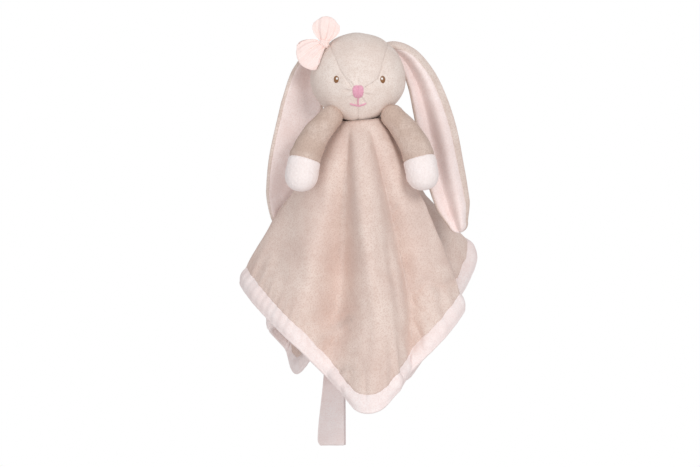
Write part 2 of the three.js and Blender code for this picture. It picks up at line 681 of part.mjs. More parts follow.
// A point of the hanging cloth's middle layer: fold is a sample, t runs from the neck (0) to the hem (1).
function clothPoint(fold, t) {
  const full = folds.at(-1).angle;
  const flat = (fold.angle / full) * 2 * Math.PI;
  const reach = clothReach(flat);
  const tilt = Math.acos(-fold.ray.z) * (1 + fold.bow * (1 - t));
  const side = new THREE.Vector3(fold.ray.x, fold.ray.y, 0).normalize();
  const hung = side.multiplyScalar(reach * t * Math.sin(tilt));
  hung.z = -reach * t * Math.cos(tilt);
  const ringRadius = NECK_RADIUS + (reach - NECK_RADIUS) * t * Math.sin(CONE_ANGLE);
  const ring = new THREE.Vector3(Math.sin(flat) * ringRadius, -Math.cos(flat) * ringRadius, 0);
  const inner = ring.clone().setLength(NECK_RADIUS - LINING_CLOTH - SEAM_GAP);
  const neckZ = undersideZ(NECK_OFFSET + inner.x, inner.y) - NECK_SEAT;
  ring.z = (neckZ - APEX.z) * (1 - t) - reach * t * Math.cos(CONE_ANGLE);
  return ring.lerp(hung, smooth(t / FOLD_START_SHARE)).add(APEX);
}

// Rows of the middle layer at the given shares of the way to the border's inner edge, and the hem.
// The function returned moves a row outward by a distance and up the cloth by another. Where the cloth
// turns more tightly than it is thick, its inner side is squeezed.
function clothRows(shares) {
  const { weight, angle } = folds.at(-1);
  const columns = Array.from({ length: COLUMNS }, (_, i) => foldBetween('weight', (i / COLUMNS) * weight));
  const borderAt = (fold) => 1 - BORDER_WIDTH / clothReach((fold.angle / angle) * 2 * Math.PI);
  const points = shares.map((share) => columns.map((fold) => clothPoint(fold, share * borderAt(fold))));
  points.push(columns.map((fold) => clothPoint(fold, 1)));
  const frames = points.map((row, r) => row.map((here, c) => {
    const before = here.clone().sub(row.at(c - 1));
    const after = row[(c + 1) % COLUMNS].clone().sub(here);
    const shortest = Math.min(before.length(), after.length());
    before.normalize();
    after.normalize();
    const inward = after.clone().sub(before);
    const room = (SQUEEZE_SHARE * shortest) / Math.tan(Math.max(before.angleTo(after), 0.01) / 2);
    const along = before.add(after);
    const down = points[Math.min(r + 1, points.length - 1)][c].clone();
    down.sub(points[Math.max(r - 1, 0)][c]).normalize();
    const out = down.clone().cross(along).setLength(Math.min(2 / along.length(), MITRE_LIMIT));
    return { here, down, out, tight: Math.sign(out.dot(inward)), room: Math.max(room, THINNEST) };
  }));
  return (r, distance, up = 0) => frames[r].map(({ here, down, out, tight, room }) => {
    const squeezed = Math.sign(distance) === tight ? Math.min(Math.abs(distance), room) : Math.abs(distance);
    return here.clone().addScaledVector(out, Math.sign(distance) * squeezed).addScaledVector(down, -up);
  });
}

function blanket() {
  const half = LAYER_GAP / 2;
  const shares = Array.from({ length: CLOTH_ROWS + 1 }, (_, i) => (i / CLOTH_ROWS) ** ROW_POWER);
  const rowAt = clothRows(shares);
  const rows = shares.map((_, i) => i);
  const faceAt = (r, distance) => rowAt(r, distance, r === CLOTH_ROWS ? SEAM_GAP : 0);
  const face = slab(rows.map((r) => faceAt(r, half + FACE_CLOTH)), rows.map((r) => faceAt(r, half)), true);
  add('blanket_face', face, velour);
  const hem = CLOTH_ROWS + 1;
  const turned = half + FACE_CLOTH + BORDER_RISE;
  const inside = [...rows, hem].map((r) => rowAt(r, -half - LINING_CLOTH));
  const outside = rows.map((r) => rowAt(r, -half));
  outside.push(rowAt(CLOTH_ROWS, turned), rowAt(hem, turned - BORDER_RISE));
  add('blanket_lining', stepped(outside, inside), pinkVelour);
}

// A sheet closed around whose outside has one row more than its inside, because the border steps up.
function stepped(outside, inside) {
  const columns = outside[0].length;
  const points = [...outside.flat(), ...inside.flat()];
  const base = outside.length * columns;
  const out = (r, c) => r * columns + (c % columns);
  const inn = (r, c) => base + r * columns + (c % columns);
  const triangles = [];
  const quad = (a, b, c, d) => triangles.push([a, b, c], [a, c, d]);
  for (let c = 0; c < columns; c += 1) {
    for (let r = 0; r < outside.length - 1; r += 1) {
      quad(out(r, c), out(r + 1, c), out(r + 1, c + 1), out(r, c + 1));
    }
    for (let r = 0; r < inside.length - 1; r += 1) {
      quad(inn(r, c), inn(r, c + 1), inn(r + 1, c + 1), inn(r + 1, c));
    }
    quad(out(0, c), out(0, c + 1), inn(0, c + 1), inn(0, c));
    const [o, i] = [outside.length - 1, inside.length - 1];
    quad(out(o, c), inn(i, c), inn(i, c + 1), out(o, c + 1));
  }
  return fromPoints(points, triangles);
}

// Neck gather: the drawn-in middle of the blanket, up against the head.

const GATHER_LOW_SHARE = 0.3;
const GATHER_WIDTH_SHARES = [0.8, 0.95, 0.9];
const GATHER_TOP_SHARE = -0.8;
const GATHER_TURNS = 18;

function neckGather() {
  const radius = NECK_RADIUS - LINING_CLOTH - SEAM_GAP - SEAT_GAP;
  const low = -HEAD_HEIGHT - NECK_RADIUS * GATHER_LOW_SHARE;
  const top = headZ(GATHER_TOP_SHARE);
  const [foot, waist, rim] = GATHER_WIDTH_SHARES.map((share) => share * radius);
  const profile = [[0, low], [foot, low], [waist, -HEAD_HEIGHT], [rim, top], [0, top]];
  const points = profile.map(([r, z]) => new THREE.Vector2(r, z));
  const geometry = new THREE.LatheGeometry(points, GATHER_TURNS);
  geometry.rotateX(Math.PI / 2);
  geometry.translate(NECK_OFFSET, 0, 0);
  const solid = toSolid(closed(geometry)).subtract(toSolid(head(SEAT_GAP)));
  add('neck_gather', fromSolid(solid), darkVelour);
}

// Strap: hangs from the back corner's hem, turns under in a flat seat and rises as the tab.

function backCorner() {
  const full = folds.at(-1).angle;
  return clothPoint(foldBetween('angle', full / 2), 1);
}

function ribbon(profile, width, x) {
  const shape = new THREE.Shape(profile.map(([y, z]) => new THREE.Vector2(y, z)));
  const geometry = new THREE.ExtrudeGeometry(shape, { depth: width, bevelEnabled: false });
  geometry.rotateZ(Math.PI / 2);
  geometry.rotateY(Math.PI / 2);
  geometry.translate(x - width / 2, 0, 0);
  return closed(geometry);
}

function strap() {
  const corner = backCorner();
  corner.x -= STRAP_SHIFT;
  const half = STRAP_CLOTH / 2;
  const top = corner.z + STRAP_RISE - SEAT_GAP - half;
  const floor = top - STRAP_DROP;
  const hung = corner.y;
  const y = hung - STRAP_LEAN;
  const innerBack = y + half + LOOP_GAP;
  const split = innerBack - SEAM_GAP / 2 - half;
  const crown = Array.from({ length: CROWN_STEPS + 1 }, (_, i) => {
    const a = (i / CROWN_STEPS) * Math.PI;
    return [hung + half * Math.cos(a), top + half * Math.sin(a)];
  });
  const run = [
    ...crown, [hung - half, top - STRAP_BEND], [y - half, top - 2 * STRAP_BEND],
    [y - half, floor + STRAP_CLOTH], [y, floor + half / 2], [y + half, floor],
    [split, floor], [split, floor + STRAP_CLOTH], [y + half, floor + STRAP_CLOTH],
    [y + half, top - 2 * STRAP_BEND], [hung + half, top - STRAP_BEND],
  ];
  add('strap', ribbon(run, STRAP_WIDTH, corner.x), pinkVelour);
  const tabTop = floor + TAB_HEIGHT;
  const closing = 2 * PATCH_CLOTH + 3 * SEAM_GAP;
  const patchLow = tabTop - PATCH_HEIGHT - STRAP_CLOTH;
  const near = y + half + closing;
  const kink = patchLow - LOOP_GAP;
  const back = split + SEAM_GAP;
  const tab = [
    [back, floor], [innerBack + half, floor], [innerBack + STRAP_CLOTH, floor + STRAP_CLOTH],
    [innerBack + STRAP_CLOTH, kink], [near + STRAP_CLOTH, patchLow], [near + STRAP_CLOTH, tabTop],
    [near, tabTop], [near, patchLow], [innerBack, kink], [innerBack, floor + STRAP_CLOTH],
    [back, floor + STRAP_CLOTH],
  ];
  add('strap_tab', ribbon(tab, STRAP_WIDTH, corner.x), pinkVelour);
  const patch = (from) => ribbon([
    [from, patchLow + half], [from + PATCH_CLOTH, patchLow + half],
    [from + PATCH_CLOTH, patchLow + PATCH_HEIGHT], [from, patchLow + PATCH_HEIGHT],
  ], PATCH_WIDTH, corner.x);
  add('strap_loop_patch', patch(y + half + SEAM_GAP), hookTape);
  add('strap_hook_patch', patch(near - SEAM_GAP - PATCH_CLOTH), hookTape);
}

headStuffing();
headPanels();
eyes();
nose();
mouth();
ears();
arms();
bow();
blanket();
neckGather();
strap();

export default part;
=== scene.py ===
import math

import bmesh
import bpy
import numpy as np
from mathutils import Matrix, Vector


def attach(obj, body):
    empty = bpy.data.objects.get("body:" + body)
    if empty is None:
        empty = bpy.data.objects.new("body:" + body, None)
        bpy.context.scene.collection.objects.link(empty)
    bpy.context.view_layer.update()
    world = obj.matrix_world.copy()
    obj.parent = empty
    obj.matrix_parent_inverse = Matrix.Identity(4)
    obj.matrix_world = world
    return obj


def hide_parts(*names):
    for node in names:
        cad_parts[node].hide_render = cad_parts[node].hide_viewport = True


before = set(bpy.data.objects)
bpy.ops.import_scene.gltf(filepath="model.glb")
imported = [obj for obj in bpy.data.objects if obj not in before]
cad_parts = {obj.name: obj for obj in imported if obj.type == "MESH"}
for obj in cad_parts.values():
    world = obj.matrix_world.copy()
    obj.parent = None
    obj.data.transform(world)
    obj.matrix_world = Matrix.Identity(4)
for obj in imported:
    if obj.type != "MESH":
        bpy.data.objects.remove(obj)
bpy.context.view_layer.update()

# Head skin: four panels of short-pile velour, cut as a crown gusset, two cheeks and a back panel, sewn
# inside out, turned and stuffed. Every seam draws the skin into a fine groove and the stuffing swells
# between the seams. Lengths here and below are in millimetres, and the crown of the head is the origin.

MM = 0.001
head_width, head_depth, head_height = 80.0, 68.0, 75.0
skin, muzzle_rise, chin_sag = 1.8, 4.0, 4.5


def unit(v):
    """Arrows of length one, from arrows of any length in the last axis."""
    return v / np.maximum(np.linalg.norm(v, axis=-1, keepdims=True), 1e-12)


def bell(x, width):
    """A hump of height one that falls off as exp(-(x / width) squared)."""
    return np.exp(-((x / width) ** 2))


def ease(t):
    """A slow start and a slow end between 0 and 1: t squared times (3 - 2 t)."""
    t = np.clip(t, 0, 1)
    return t * t * (3 - 2 * t)


def cheek(level):
    """How much wider than a ball the head is at a level, widest just below the eyes."""
    return 1 + 0.035 * bell(level + 0.35, 0.5)


def chin(x, y):
    """How far the chin sags below the ball, over the plan: a bell round a point ahead of the neck."""
    return chin_sag * bell(np.hypot(x / 18, (y + 16) / 11), 1)


def head_point(d, grow=0.0):
    """The head's surface in the direction d: a stretched ball, times the cheeks, plus the muzzle's rise
    and the chin's sag."""
    x, y, z = d[..., 0], d[..., 1], d[..., 2]
    muzzle = np.where(y < 0, muzzle_rise * bell(np.hypot(x, z + 0.36), 0.4), 0)
    x = (head_width / 2 + grow) * x * cheek(z)
    y = (head_depth / 2 + grow) * y - muzzle
    return np.stack([x, y, (head_height / 2 + grow) * z - head_height / 2 - chin(x, y) * ease(-z * 1.5)], -1)


def ripple(points, size, seed, waves=10):
    """Soft unevenness: sine waves about size long, crossing in fixed directions, added and averaged."""
    rng = np.random.default_rng(seed)
    way = unit(rng.normal(size=(waves, 3))) * (2 * np.pi / (size * rng.uniform(0.7, 1.5, waves)))[:, None]
    return np.sin(points @ way.T + rng.uniform(0, 2 * np.pi, waves)).mean(-1) * 1.6


# The crown's two seams run from beside the nose over the top, given as shares of the head's half width and
# half height. The cheeks meet in a seam below the nose, and the back panel starts just behind the middle.
nose_level, seam_top, back_seam = -0.3, 1.4, 0.24
left_seam = np.array([[-0.15, nose_level], [-0.385, 0.09], [-0.6, 0.66], [-0.78, seam_top]])
right_seam = np.array([[0.17, nose_level], [0.44, -0.1], [0.63, 0.66], [0.8, seam_top]])
chin_seam = np.array([[0, -1.1], [0, nose_level]])
eye_places = np.array([[-18.8, -42.0], [21.2, -42.0]])
eye_dimple, seam_groove, seam_valley = 1.15, 0.42, 0.5
nose_pull, nose_pull_level, nose_pull_ring = 0.85, -52.5, 8.5


def seam_across(seam, level):
    """Where a seam crosses a level, as the sideways part of a direction."""
    return np.interp(level, seam[:, 1], seam[:, 0]) / cheek(level)


def seam_distance(d):
    """Distance in the skin to the nearest seam: the back panel's, two at the crown's edges and the chin's.
    A slanting seam is nearer than the sideways step to it, by the share slant."""
    x, y, z = d[..., 0], d[..., 1], d[..., 2]
    near = np.abs(y - back_seam) * head_depth / 2
    above = z > nose_level
    for seam, slant, beside in ((left_seam, 0.86, above), (right_seam, 0.9, above), (chin_seam, 1.0, ~above)):
        away = np.abs(x - seam_across(seam, z)) * head_width / 2 * slant
        near = np.where((y < back_seam) & beside, np.minimum(near, away), near)
    return near


def skin_depth(d):
    """How far the skin is drawn in: a sharp groove in a wide one at each seam, a bell at each eye, and a
    ring of pulls round the nose, which are cosines of the angle round it. Soft lumps lie over all."""
    near = seam_distance(d)
    p = head_point(d)
    x, y, z = p[..., 0], p[..., 1], p[..., 2]
    nose, turn = np.hypot(x, z - nose_pull_level), np.arctan2(x, z - nose_pull_level)
    pulls = 0.7 + 0.5 * np.cos(9 * turn + 1.2) + 0.3 * np.cos(17 * turn)
    on_front = nose_pull * bell(nose - nose_pull_ring, 4.5) * pulls
    for eye_x, eye_z in eye_places:
        on_front = on_front + eye_dimple * bell(np.hypot(x - eye_x, z - eye_z), 5.2)
    grooves = seam_groove * bell(near, 0.8) + seam_valley * bell(near, 3.4)
    return grooves + np.where(y < 0, on_front, 0) + 0.3 * ripple(p, 17, 3)


def quad_sphere(cells):
    """Directions and four-cornered faces of a ball made of six square patches, evenly spaced by angle."""
    angle = np.linspace(-np.pi / 4, np.pi / 4, cells + 1)
    u, v = np.meshgrid(np.tan(angle), np.tan(angle), indexing="ij")
    patch = np.stack([u, v, np.ones_like(u)], -1).reshape(-1, 3)
    i, j = np.meshgrid(np.arange(cells), np.arange(cells), indexing="ij")
    corner = (i * (cells + 1) + j).ravel()
    quads = np.stack([corner, corner + cells + 1, corner + cells + 2, corner + 1], -1)
    ways, faces = [], []
    for turn in range(3):
        for side in (1, -1):
            faces.append((quads if side > 0 else quads[:, ::-1]) + len(ways) * len(patch))
            ways.append(np.roll(patch, turn, axis=1) * side)
    return unit(np.concatenate(ways)), np.concatenate(faces)


def weld(name, points, faces, closed=True):
    """A smooth mesh piece of points in millimetres. Corners that lie on each other are merged, and a
    closed piece is turned so that its volume is positive."""
    used, faces = np.unique(faces, return_inverse=True)
    faces = faces.reshape(-1, 4)
    mesh = bpy.data.meshes.new(name)
    mesh.vertices.add(len(used))
    mesh.vertices.foreach_set("co", (points.reshape(-1, 3)[used] * MM).ravel())
    mesh.loops.add(faces.size)
    mesh.loops.foreach_set("vertex_index", faces.ravel())
    mesh.polygons.add(len(faces))
    mesh.polygons.foreach_set("loop_start", np.arange(0, faces.size, 4))
    mesh.update(calc_edges=True)
    edit = bmesh.new()
    edit.from_mesh(mesh)
    bmesh.ops.remove_doubles(edit, verts=edit.verts, dist=2e-6)
    if closed and edit.calc_volume(signed=True) < 0:
        bmesh.ops.reverse_faces(edit, faces=edit.faces)
    edit.to_mesh(mesh)
    edit.free()
    mesh.polygons.foreach_set("use_smooth", np.ones(len(mesh.polygons), bool))
    piece = bpy.data.objects.new(name, mesh)
    bpy.context.scene.collection.objects.link(piece)
    return piece


def thicken(piece, cloth, offset=-1.0):
    """Gives an open skin the thickness of its cloth, inward from what shows."""
    wall = piece.modifiers.new("cloth", "SOLIDIFY")
    wall.thickness = cloth * MM
    wall.offset = offset
    return piece


def srgb(value):
    """A hex colour as it is seen on a screen, turned to linear light."""
    part = np.array([int(value[i:i + 2], 16) for i in (1, 3, 5)]) / 255
    linear = np.where(part <= 0.04045, part / 12.92, ((part + 0.055) / 1.055) ** 2.4)
    return (*linear.tolist(), 1.0)


def node(tree, kind, inputs=None, **settings):
    """Adds one node with its settings, and gives each named input its value or the socket that feeds it."""
    made = tree.nodes.new(kind)
    for key, value in settings.items():
        setattr(made, key, value)
    for key, value in (inputs or {}).items():
        if isinstance(value, bpy.types.NodeSocket):
            tree.links.new(value, made.inputs[key])
        else:
            made.inputs[key].default_value = value
    return made


def finish(name, rough, specular=0.5):
    """Starts a material: returned with its tree, its shader and the piece's own coordinates."""
    material = bpy.data.materials.new(name)
    material.use_nodes = True
    tree = material.node_tree
    shader = tree.nodes["Principled BSDF"]
    shader.inputs["Roughness"].default_value = rough
    shader.inputs["Specular IOR Level"].default_value = specular
    return material, tree, shader, node(tree, "ShaderNodeTexCoord").outputs["Object"]


def joined(tree, first, second, how):
    """Two patterns made one, by the operation that how names."""
    return node(tree, "ShaderNodeMath", {0: first, 1: second}, operation=how).outputs[0]


def raise_nap(tree, shader, height, strength, lift):
    """Gives a shader its bump, from a pattern and the height of that pattern in millimetres."""
    bump = node(tree, "ShaderNodeBump", {"Height": height, "Strength": strength, "Distance": lift * MM})
    tree.links.new(bump.outputs["Normal"], shader.inputs["Normal"])


def pile_cloth(name, light, middle, deep, tuft, lay, lift=0.16):
    """A cloth with a pile. Broad drifts show where the pile lies one way or the other, finer ones where
    fingers have brushed it, and a grain of light tufts and darker pits lies over both. The grain is
    also its bump. tuft and lay are the sizes of the grain and of the drifts, in millimetres."""
    material, tree, shader, place = finish(name, 0.95, 0.08)
    shader.inputs["Sheen Weight"].default_value = 0.02
    shader.inputs["Sheen Roughness"].default_value = 0.45
    shader.inputs["Sheen Tint"].default_value = srgb("#fff4ee")

    def cloud(size, detail, rough_share=0.5):
        """Noise whose patches are about size millimetres across."""
        return node(tree, "ShaderNodeTexNoise", {"Vector": place, "Scale": 1000 / size, "Detail": detail,
                                                 "Roughness": rough_share}).outputs["Fac"]

    def spread(value, low, high):
        """A value stretched so that low becomes 0 and high becomes 1."""
        return node(tree, "ShaderNodeMapRange", {"Value": value, "From Min": low, "From Max": high},
                    interpolation_type="SMOOTHSTEP").outputs["Result"]

    def blended(share, first, second):
        """The first colour, and the second by its share."""
        mix = node(tree, "ShaderNodeMix", data_type="RGBA")
        for socket, value in ((mix.inputs[0], share), (mix.inputs[6], first), (mix.inputs[7], second)):
            if isinstance(value, bpy.types.NodeSocket):
                tree.links.new(value, socket)
            else:
                socket.default_value = value
        return mix.outputs[2]

    drift = spread(cloud(lay, 2.0), 0.36, 0.64)
    brushed = spread(cloud(lay / 4.5, 3.0, 0.6), 0.38, 0.66)
    grain = cloud(tuft, 3.0, 0.62)
    tone = blended(drift, srgb(middle), srgb(light))
    low = blended(0.5, srgb(middle), srgb(deep))
    for pattern, strength, colour in ((brushed, 0.28, low), (spread(grain, 0.56, 0.36), 0.45, srgb(deep))):
        tone = blended(joined(tree, pattern, strength, "MULTIPLY"), tone, colour)
    tree.links.new(tone, shader.inputs["Base Color"])
    raise_nap(tree, shader, grain, 0.6, lift)
    return material


def dress(piece, material, body, replaced):
    """Gives a piece its material and body, and hides the CAD node that it stands for."""
    piece.data.materials.append(material)
    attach(piece, body)
    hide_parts(replaced)
    return piece


# Polyester velour, knitted and cropped to a pile of about 1.5 mm: matt, soft-edged, a little lighter
# where the pile faces the light. Its tufts are drawn at 1.1 mm, coarser than real, so that they show.
head_velour = pile_cloth("velour_taupe_head", "#f1e6df", "#eadcd4", "#d3beb2", tuft=1.1, lay=30)

# The grid's corners that lie nearest to a seam are moved onto it, so that each panel ends on its seam line.
cells = 112
ways, faces = quad_sphere(cells)
reach = 0.55 * (math.pi / 2) / cells
flank = np.hypot(ways[:, 0], ways[:, 2])
on_back = np.abs(ways[:, 1] - back_seam) < reach
ways[on_back] *= (math.sqrt(1 - back_seam ** 2) / flank[on_back])[:, None]
ways[on_back, 1] = back_seam
for seam in (left_seam, right_seam, chin_seam):
    at = seam_across(seam, ways[:, 2])
    room = 1 - at ** 2 - ways[:, 2] ** 2
    close = (np.abs(ways[:, 0] - at) < reach) & (ways[:, 1] < back_seam) & (room > 1e-4)
    close &= (ways[:, 2] > seam[0, 1]) & (ways[:, 2] <= seam[-1, 1])
    ways[close, 0] = at[close]
    ways[close, 1] = np.sign(ways[close, 1]) * np.sqrt(room[close])
middle = unit(ways[faces].mean(1))
across, level = middle[:, 0], middle[:, 2]
behind, above = middle[:, 1] > back_seam, level > nose_level
left_of_crown = across < seam_across(left_seam, level)
right_of_crown = across > seam_across(right_seam, level)
crown = above & ~left_of_crown & ~right_of_crown
left = np.where(above, left_of_crown, across < 0)
surface = head_point(ways)
tufts = 0.1 * ripple(surface, 2.2, 5, 16) + 0.07 * ripple(surface, 1.3, 6, 16)
surface = head_point(ways, tufts - skin_depth(ways))
for name, replaced, chosen in (("head_crown", "head_crown_panel", ~behind & crown),
                               ("head_cheek_left_skin", "head_cheek_left", ~behind & ~crown & left),
                               ("head_cheek_right_skin", "head_cheek_right", ~behind & ~crown & ~left),
                               ("head_back", "head_back_panel", behind)):
    panel = thicken(weld(name, surface, faces[chosen], closed=False), skin)
    dress(panel, head_velour, "toy", replaced)

# Head stuffing: a ball of loose polyester fibre that fills the skin. It is hidden, but it is a piece of
# its own, lumpy where the fibre was pushed in through the neck.

# Loose polyester fibre: matt and white, with soft shadows between its clumps.
fibre_white = pile_cloth("polyester_fibre", "#fbfaf8", "#f4f1ee", "#dcd8d4", tuft=4, lay=14, lift=0.8)
fibre_gap = 2.2
fibre_ways, fibre_faces = quad_sphere(36)
lumps = 0.7 * ripple(head_point(fibre_ways, -skin - fibre_gap), 11, 8)
fibre = weld("head_fibre", head_point(fibre_ways, -skin - fibre_gap + lumps), fibre_faces)
dress(fibre, fibre_white, "toy", "head_stuffing")

# Eyes: satin stitch in brown thread, an upright oval each, with a few white stitches for the glint toward
# the nose. The threads lie side by side across a padded shape, so each has rounded ridges.


def face_way(x, z):
    """The direction of the point of the face that is seen at x and z from the front."""
    level = (z + head_height / 2) / (head_height / 2)
    for _ in range(4):
        side = x / (head_width / 2 * cheek(level))
        way = np.stack([side, -np.sqrt(np.maximum(1 - side ** 2 - level ** 2, 1e-4)), level], -1)
        level = level + (z - head_point(way)[..., 2]) / (head_height / 2)
    return way


def on_face(x, z, height):
    """The point of the face seen at x and z, raised by height over the drawn-in skin."""
    way = face_way(x, z)
    return head_point(way, height - skin_depth(way))


def patch_faces(rows, columns, around=False):
    """Corner numbers of the quads of a grid of points, whose columns may close on themselves."""
    r, c = np.meshgrid(np.arange(rows - 1), np.arange(columns if around else columns - 1), indexing="ij")
    r, c, n = r.ravel(), c.ravel(), (c.ravel() + 1) % columns
    return np.stack([r * columns + c, r * columns + n, (r + 1) * columns + n, (r + 1) * columns + c], -1)


def shell(name, over, under, around=False):
    """A closed piece between two grids of points, joined along their edges."""
    rows, columns = over.shape[:2]
    one = patch_faces(rows, columns, around)
    total = rows * columns
    faces = [one, one[:, ::-1] + total]
    edges = [np.arange(columns), np.arange(columns) + (rows - 1) * columns]
    if around:
        edges = [np.append(e, e[0]) for e in edges]
    else:
        edges += [np.arange(rows) * columns, np.arange(rows) * columns + columns - 1]
    for k, e in enumerate(edges):
        rim = np.stack([e[:-1], e[:-1] + total, e[1:] + total, e[1:]], -1)
        faces.append(rim[:, ::-1] if k in (1, 2) else rim)
    return weld(name, np.concatenate([over.reshape(-1, 3), under.reshape(-1, 3)]), np.concatenate(faces))


def satin(name, outline, centre, thickness, thread, lean, seed):
    """An embroidered patch: rings of its outline shrink to its centre, its height is a low dome, and a
    wave across it, one hump to a thread, makes the ridges. lean turns the threads from upright."""
    turns, rings = 96, 34
    turn = np.linspace(0, 2 * np.pi, turns, endpoint=False)
    share = np.sin(np.linspace(0, np.pi / 2, rings))[::-1, None]
    edge = outline(turn)
    x, z = centre[0] + edge[:, 0] * share, centre[1] + edge[:, 1] * share
    across = (x - centre[0]) * math.cos(lean) + (z - centre[1]) * math.sin(lean)
    wander = 0.12 * thread * ripple(np.stack([x, z * 0.4, z * 0], -1), 2.5, seed)
    ridge = 0.16 * np.abs(np.sin(np.pi * (across + wander) / thread)) - 0.1
    dome = thickness * (1 - share ** 2.6) ** 0.5
    over = on_face(x, z, 0.12 + dome + ridge * (share < 0.995))
    under = on_face(x, z, np.full_like(x, -0.35))
    return shell(name, over, under, around=True)


def shade(tree, shader, pattern, dark, light, full=1.0):
    """Colours a shader by a pattern: dark where it is 0, and light where it reaches full."""
    ramp = node(tree, "ShaderNodeValToRGB", {"Fac": pattern})
    ramp.color_ramp.elements[0].color = srgb(dark)
    ramp.color_ramp.elements[1].color = srgb(light)
    ramp.color_ramp.elements[1].position = full
    tree.links.new(ramp.outputs["Color"], shader.inputs["Base Color"])


def bands(tree, place, turn, width, **settings):
    """Dark and light bands, each pair width millimetres wide. The wave node has 20 radians to a unit."""
    turned = node(tree, "ShaderNodeMapping", {"Vector": place, "Rotation": turn}).outputs[0]
    scale = 2 * np.pi / (20 * width * MM)
    return node(tree, "ShaderNodeTexWave", {"Vector": turned, "Scale": scale, **settings}).outputs["Fac"]


def thread_finish(name, light, dark, strand, lean):
    """Polyester embroidery thread: smooth and half glossy, with a painted highlight on each twisted strand
    and painted shade between strands. strand is the width of one, in millimetres, and lean turns them from
    upright."""
    material, tree, shader, place = finish(name, 0.45)
    shader.inputs["Anisotropic"].default_value = 0.5
    shader.inputs["Sheen Weight"].default_value = 0.15
    strands = bands(tree, place, (0, lean, 0), strand, Distortion=1.2, Detail=1.0)
    fuzz = node(tree, "ShaderNodeTexNoise", {"Vector": place, "Scale": 2600, "Detail": 2}).outputs["Fac"]
    both = joined(tree, strands, fuzz, "MULTIPLY")
    # Painted highlight on each strand and painted shade between strands, from the pattern that also raises
    # the bump.
    shade(tree, shader, both, dark, light, 0.45)
    raise_nap(tree, shader, both, 0.5, 0.1)
    return material


# Thread of one make, brown for the iris and white for the glint, so that both shine alike.
brown_thread = thread_finish("embroidery_thread_brown", "#a4703c", "#55341c", 0.2827, 0.2)
white_thread = thread_finish("embroidery_thread_white", "#ffffff", "#e9e4df", 0.2513, 0.2)
iris_width, iris_height, iris_thread = 4.2, 6.2, 0.45
glint_width, glint_height, glint_thread, glint_shift = 1.9, 2.3, 0.4, np.array([0.75, 0.7])


def oval(width, height):
    """The outline of an oval: the cosine and the sine of the turn, times its half width and height."""
    return lambda turn: np.stack([width / 2 * np.cos(turn), height / 2 * np.sin(turn)], -1)


for side, eye, inward in (("left", eye_places[0], 1), ("right", eye_places[1], -1)):
    outline, lean = oval(iris_width, iris_height), -0.25 * inward
    iris = satin(f"eye_{side}_stitches", outline, eye, 0.75, iris_thread, lean, 11)
    dress(iris, brown_thread, "toy", f"eye_{side}")
    outline, place = oval(glint_width, glint_height), eye + glint_shift * [inward, 1]
    glint = satin(f"eye_{side}_glint", outline, place, 1.15, glint_thread, 0.2, 12)
    dress(glint, white_thread, "toy", f"eye_glint_{side}")

# Nose and mouth: the nose is a satin-stitched patch, flat at the top and round below. The mouth is one line
# of the same rose thread, down from the nose and out to both sides in a shallow smile.

# The same make of thread in rose, in a thicker count that shows each stitch of the nose.
rose_thread = thread_finish("embroidery_thread_rose", "#f0b9cb", "#d78ba8", 0.3456, 0.0)
nose_centre, nose_half_width, nose_half_height, nose_top = (0.0, -52.6), 4.75, 5.4, 4.9
nose_thread, smile_half_width, smile_level, smile_rise = 0.55, 7.0, -63.9, 1.9


def nose_outline(turn):
    """A rounded square, cut flatter above: an oval of power 2.7, drawn in a little toward the bottom."""
    c, s = np.cos(turn), np.sin(turn)
    size = (np.abs(c) ** 2.7 + np.abs(s) ** 2.7) ** (-1 / 2.7)
    x, z = nose_half_width * c * size, nose_half_height * s * size
    x = x * (0.98 + 0.09 * np.clip(z / nose_half_height, -1, 1))
    return np.stack([x, np.minimum(z, nose_top + 0.25 * np.cos(2 * c))], -1)


nose = satin("nose_stitches", nose_outline, nose_centre, 1.25, nose_thread, 0.0, 21)
dress(nose, rose_thread, "toy", "nose_embroidery")


def stitched_line(points, thick, twist, seed):
    """A thread along points of the face, in x and z: a round cord with a slow twist, half sunk in the
    pile. Returned as grids of points, one ring of the cord to a row."""
    step = np.concatenate([[0], np.cumsum(np.hypot(*np.diff(points, axis=0).T))])
    along = np.linspace(0, step[-1], int(step[-1] / 0.16) + 2)
    x, z = np.interp(along, step, points[:, 0]), np.interp(along, step, points[:, 1])
    spine = on_face(x, z, np.full_like(x, 0.28))
    way = unit(np.gradient(spine, axis=0))
    out = unit(face_way(x, z))
    side = unit(np.cross(way, out))
    turn = np.linspace(0, 2 * np.pi, 14, endpoint=False)
    ends = np.sqrt(np.clip(np.minimum(along, step[-1] - along) / thick, 0.02, 1))
    radius = thick / 2 * ends[:, None] * (1 + 0.13 * np.cos(2 * (turn[None] + twist * along[:, None])))
    return spine[:, None] + side[:, None] * (radius * np.cos(turn))[..., None] + (
        out[:, None] * (radius * np.sin(turn))[..., None])


def cords(name, rings):
    """One piece of several round cords, each closed at both ends."""
    points, faces, start = [], [], 0
    for ring in rings:
        rows, columns = ring.shape[:2]
        caps = np.repeat(ring[[0, -1]].mean(1, keepdims=True), columns, axis=1)
        full = np.concatenate([caps[:1], ring, caps[1:]])
        points.append(full.reshape(-1, 3))
        faces.append(patch_faces(rows + 2, columns, True) + start)
        start += (rows + 2) * columns
    return weld(name, np.concatenate(points), np.concatenate(faces))


share = np.linspace(-1, 1, 41)
smile = smile_level + smile_rise * share ** 2 - 0.5 * bell(share, 0.25)
smile = np.stack([smile_half_width * share, smile], -1)
stem = np.array([[0.1, -57.6], [-0.05, -60.6], [0.0, -63.6]])
mouth = cords("mouth_stitches", [stitched_line(smile, 1.35, 2.4, 31), stitched_line(stem, 1.15, 2.4, 32)])
dress(mouth, rose_thread, "toy", "mouth_embroidery")

# Ears: long lop ears, each a taupe velour outer and a pink lining, sewn round the edge, turned, and filled
# with a thin layer of fibre. The outer is cut wider and rolls over the outer edge to the front, so it
# shows as a strip beside the lining. The ear is gathered at its root and sewn into the head's back seam.


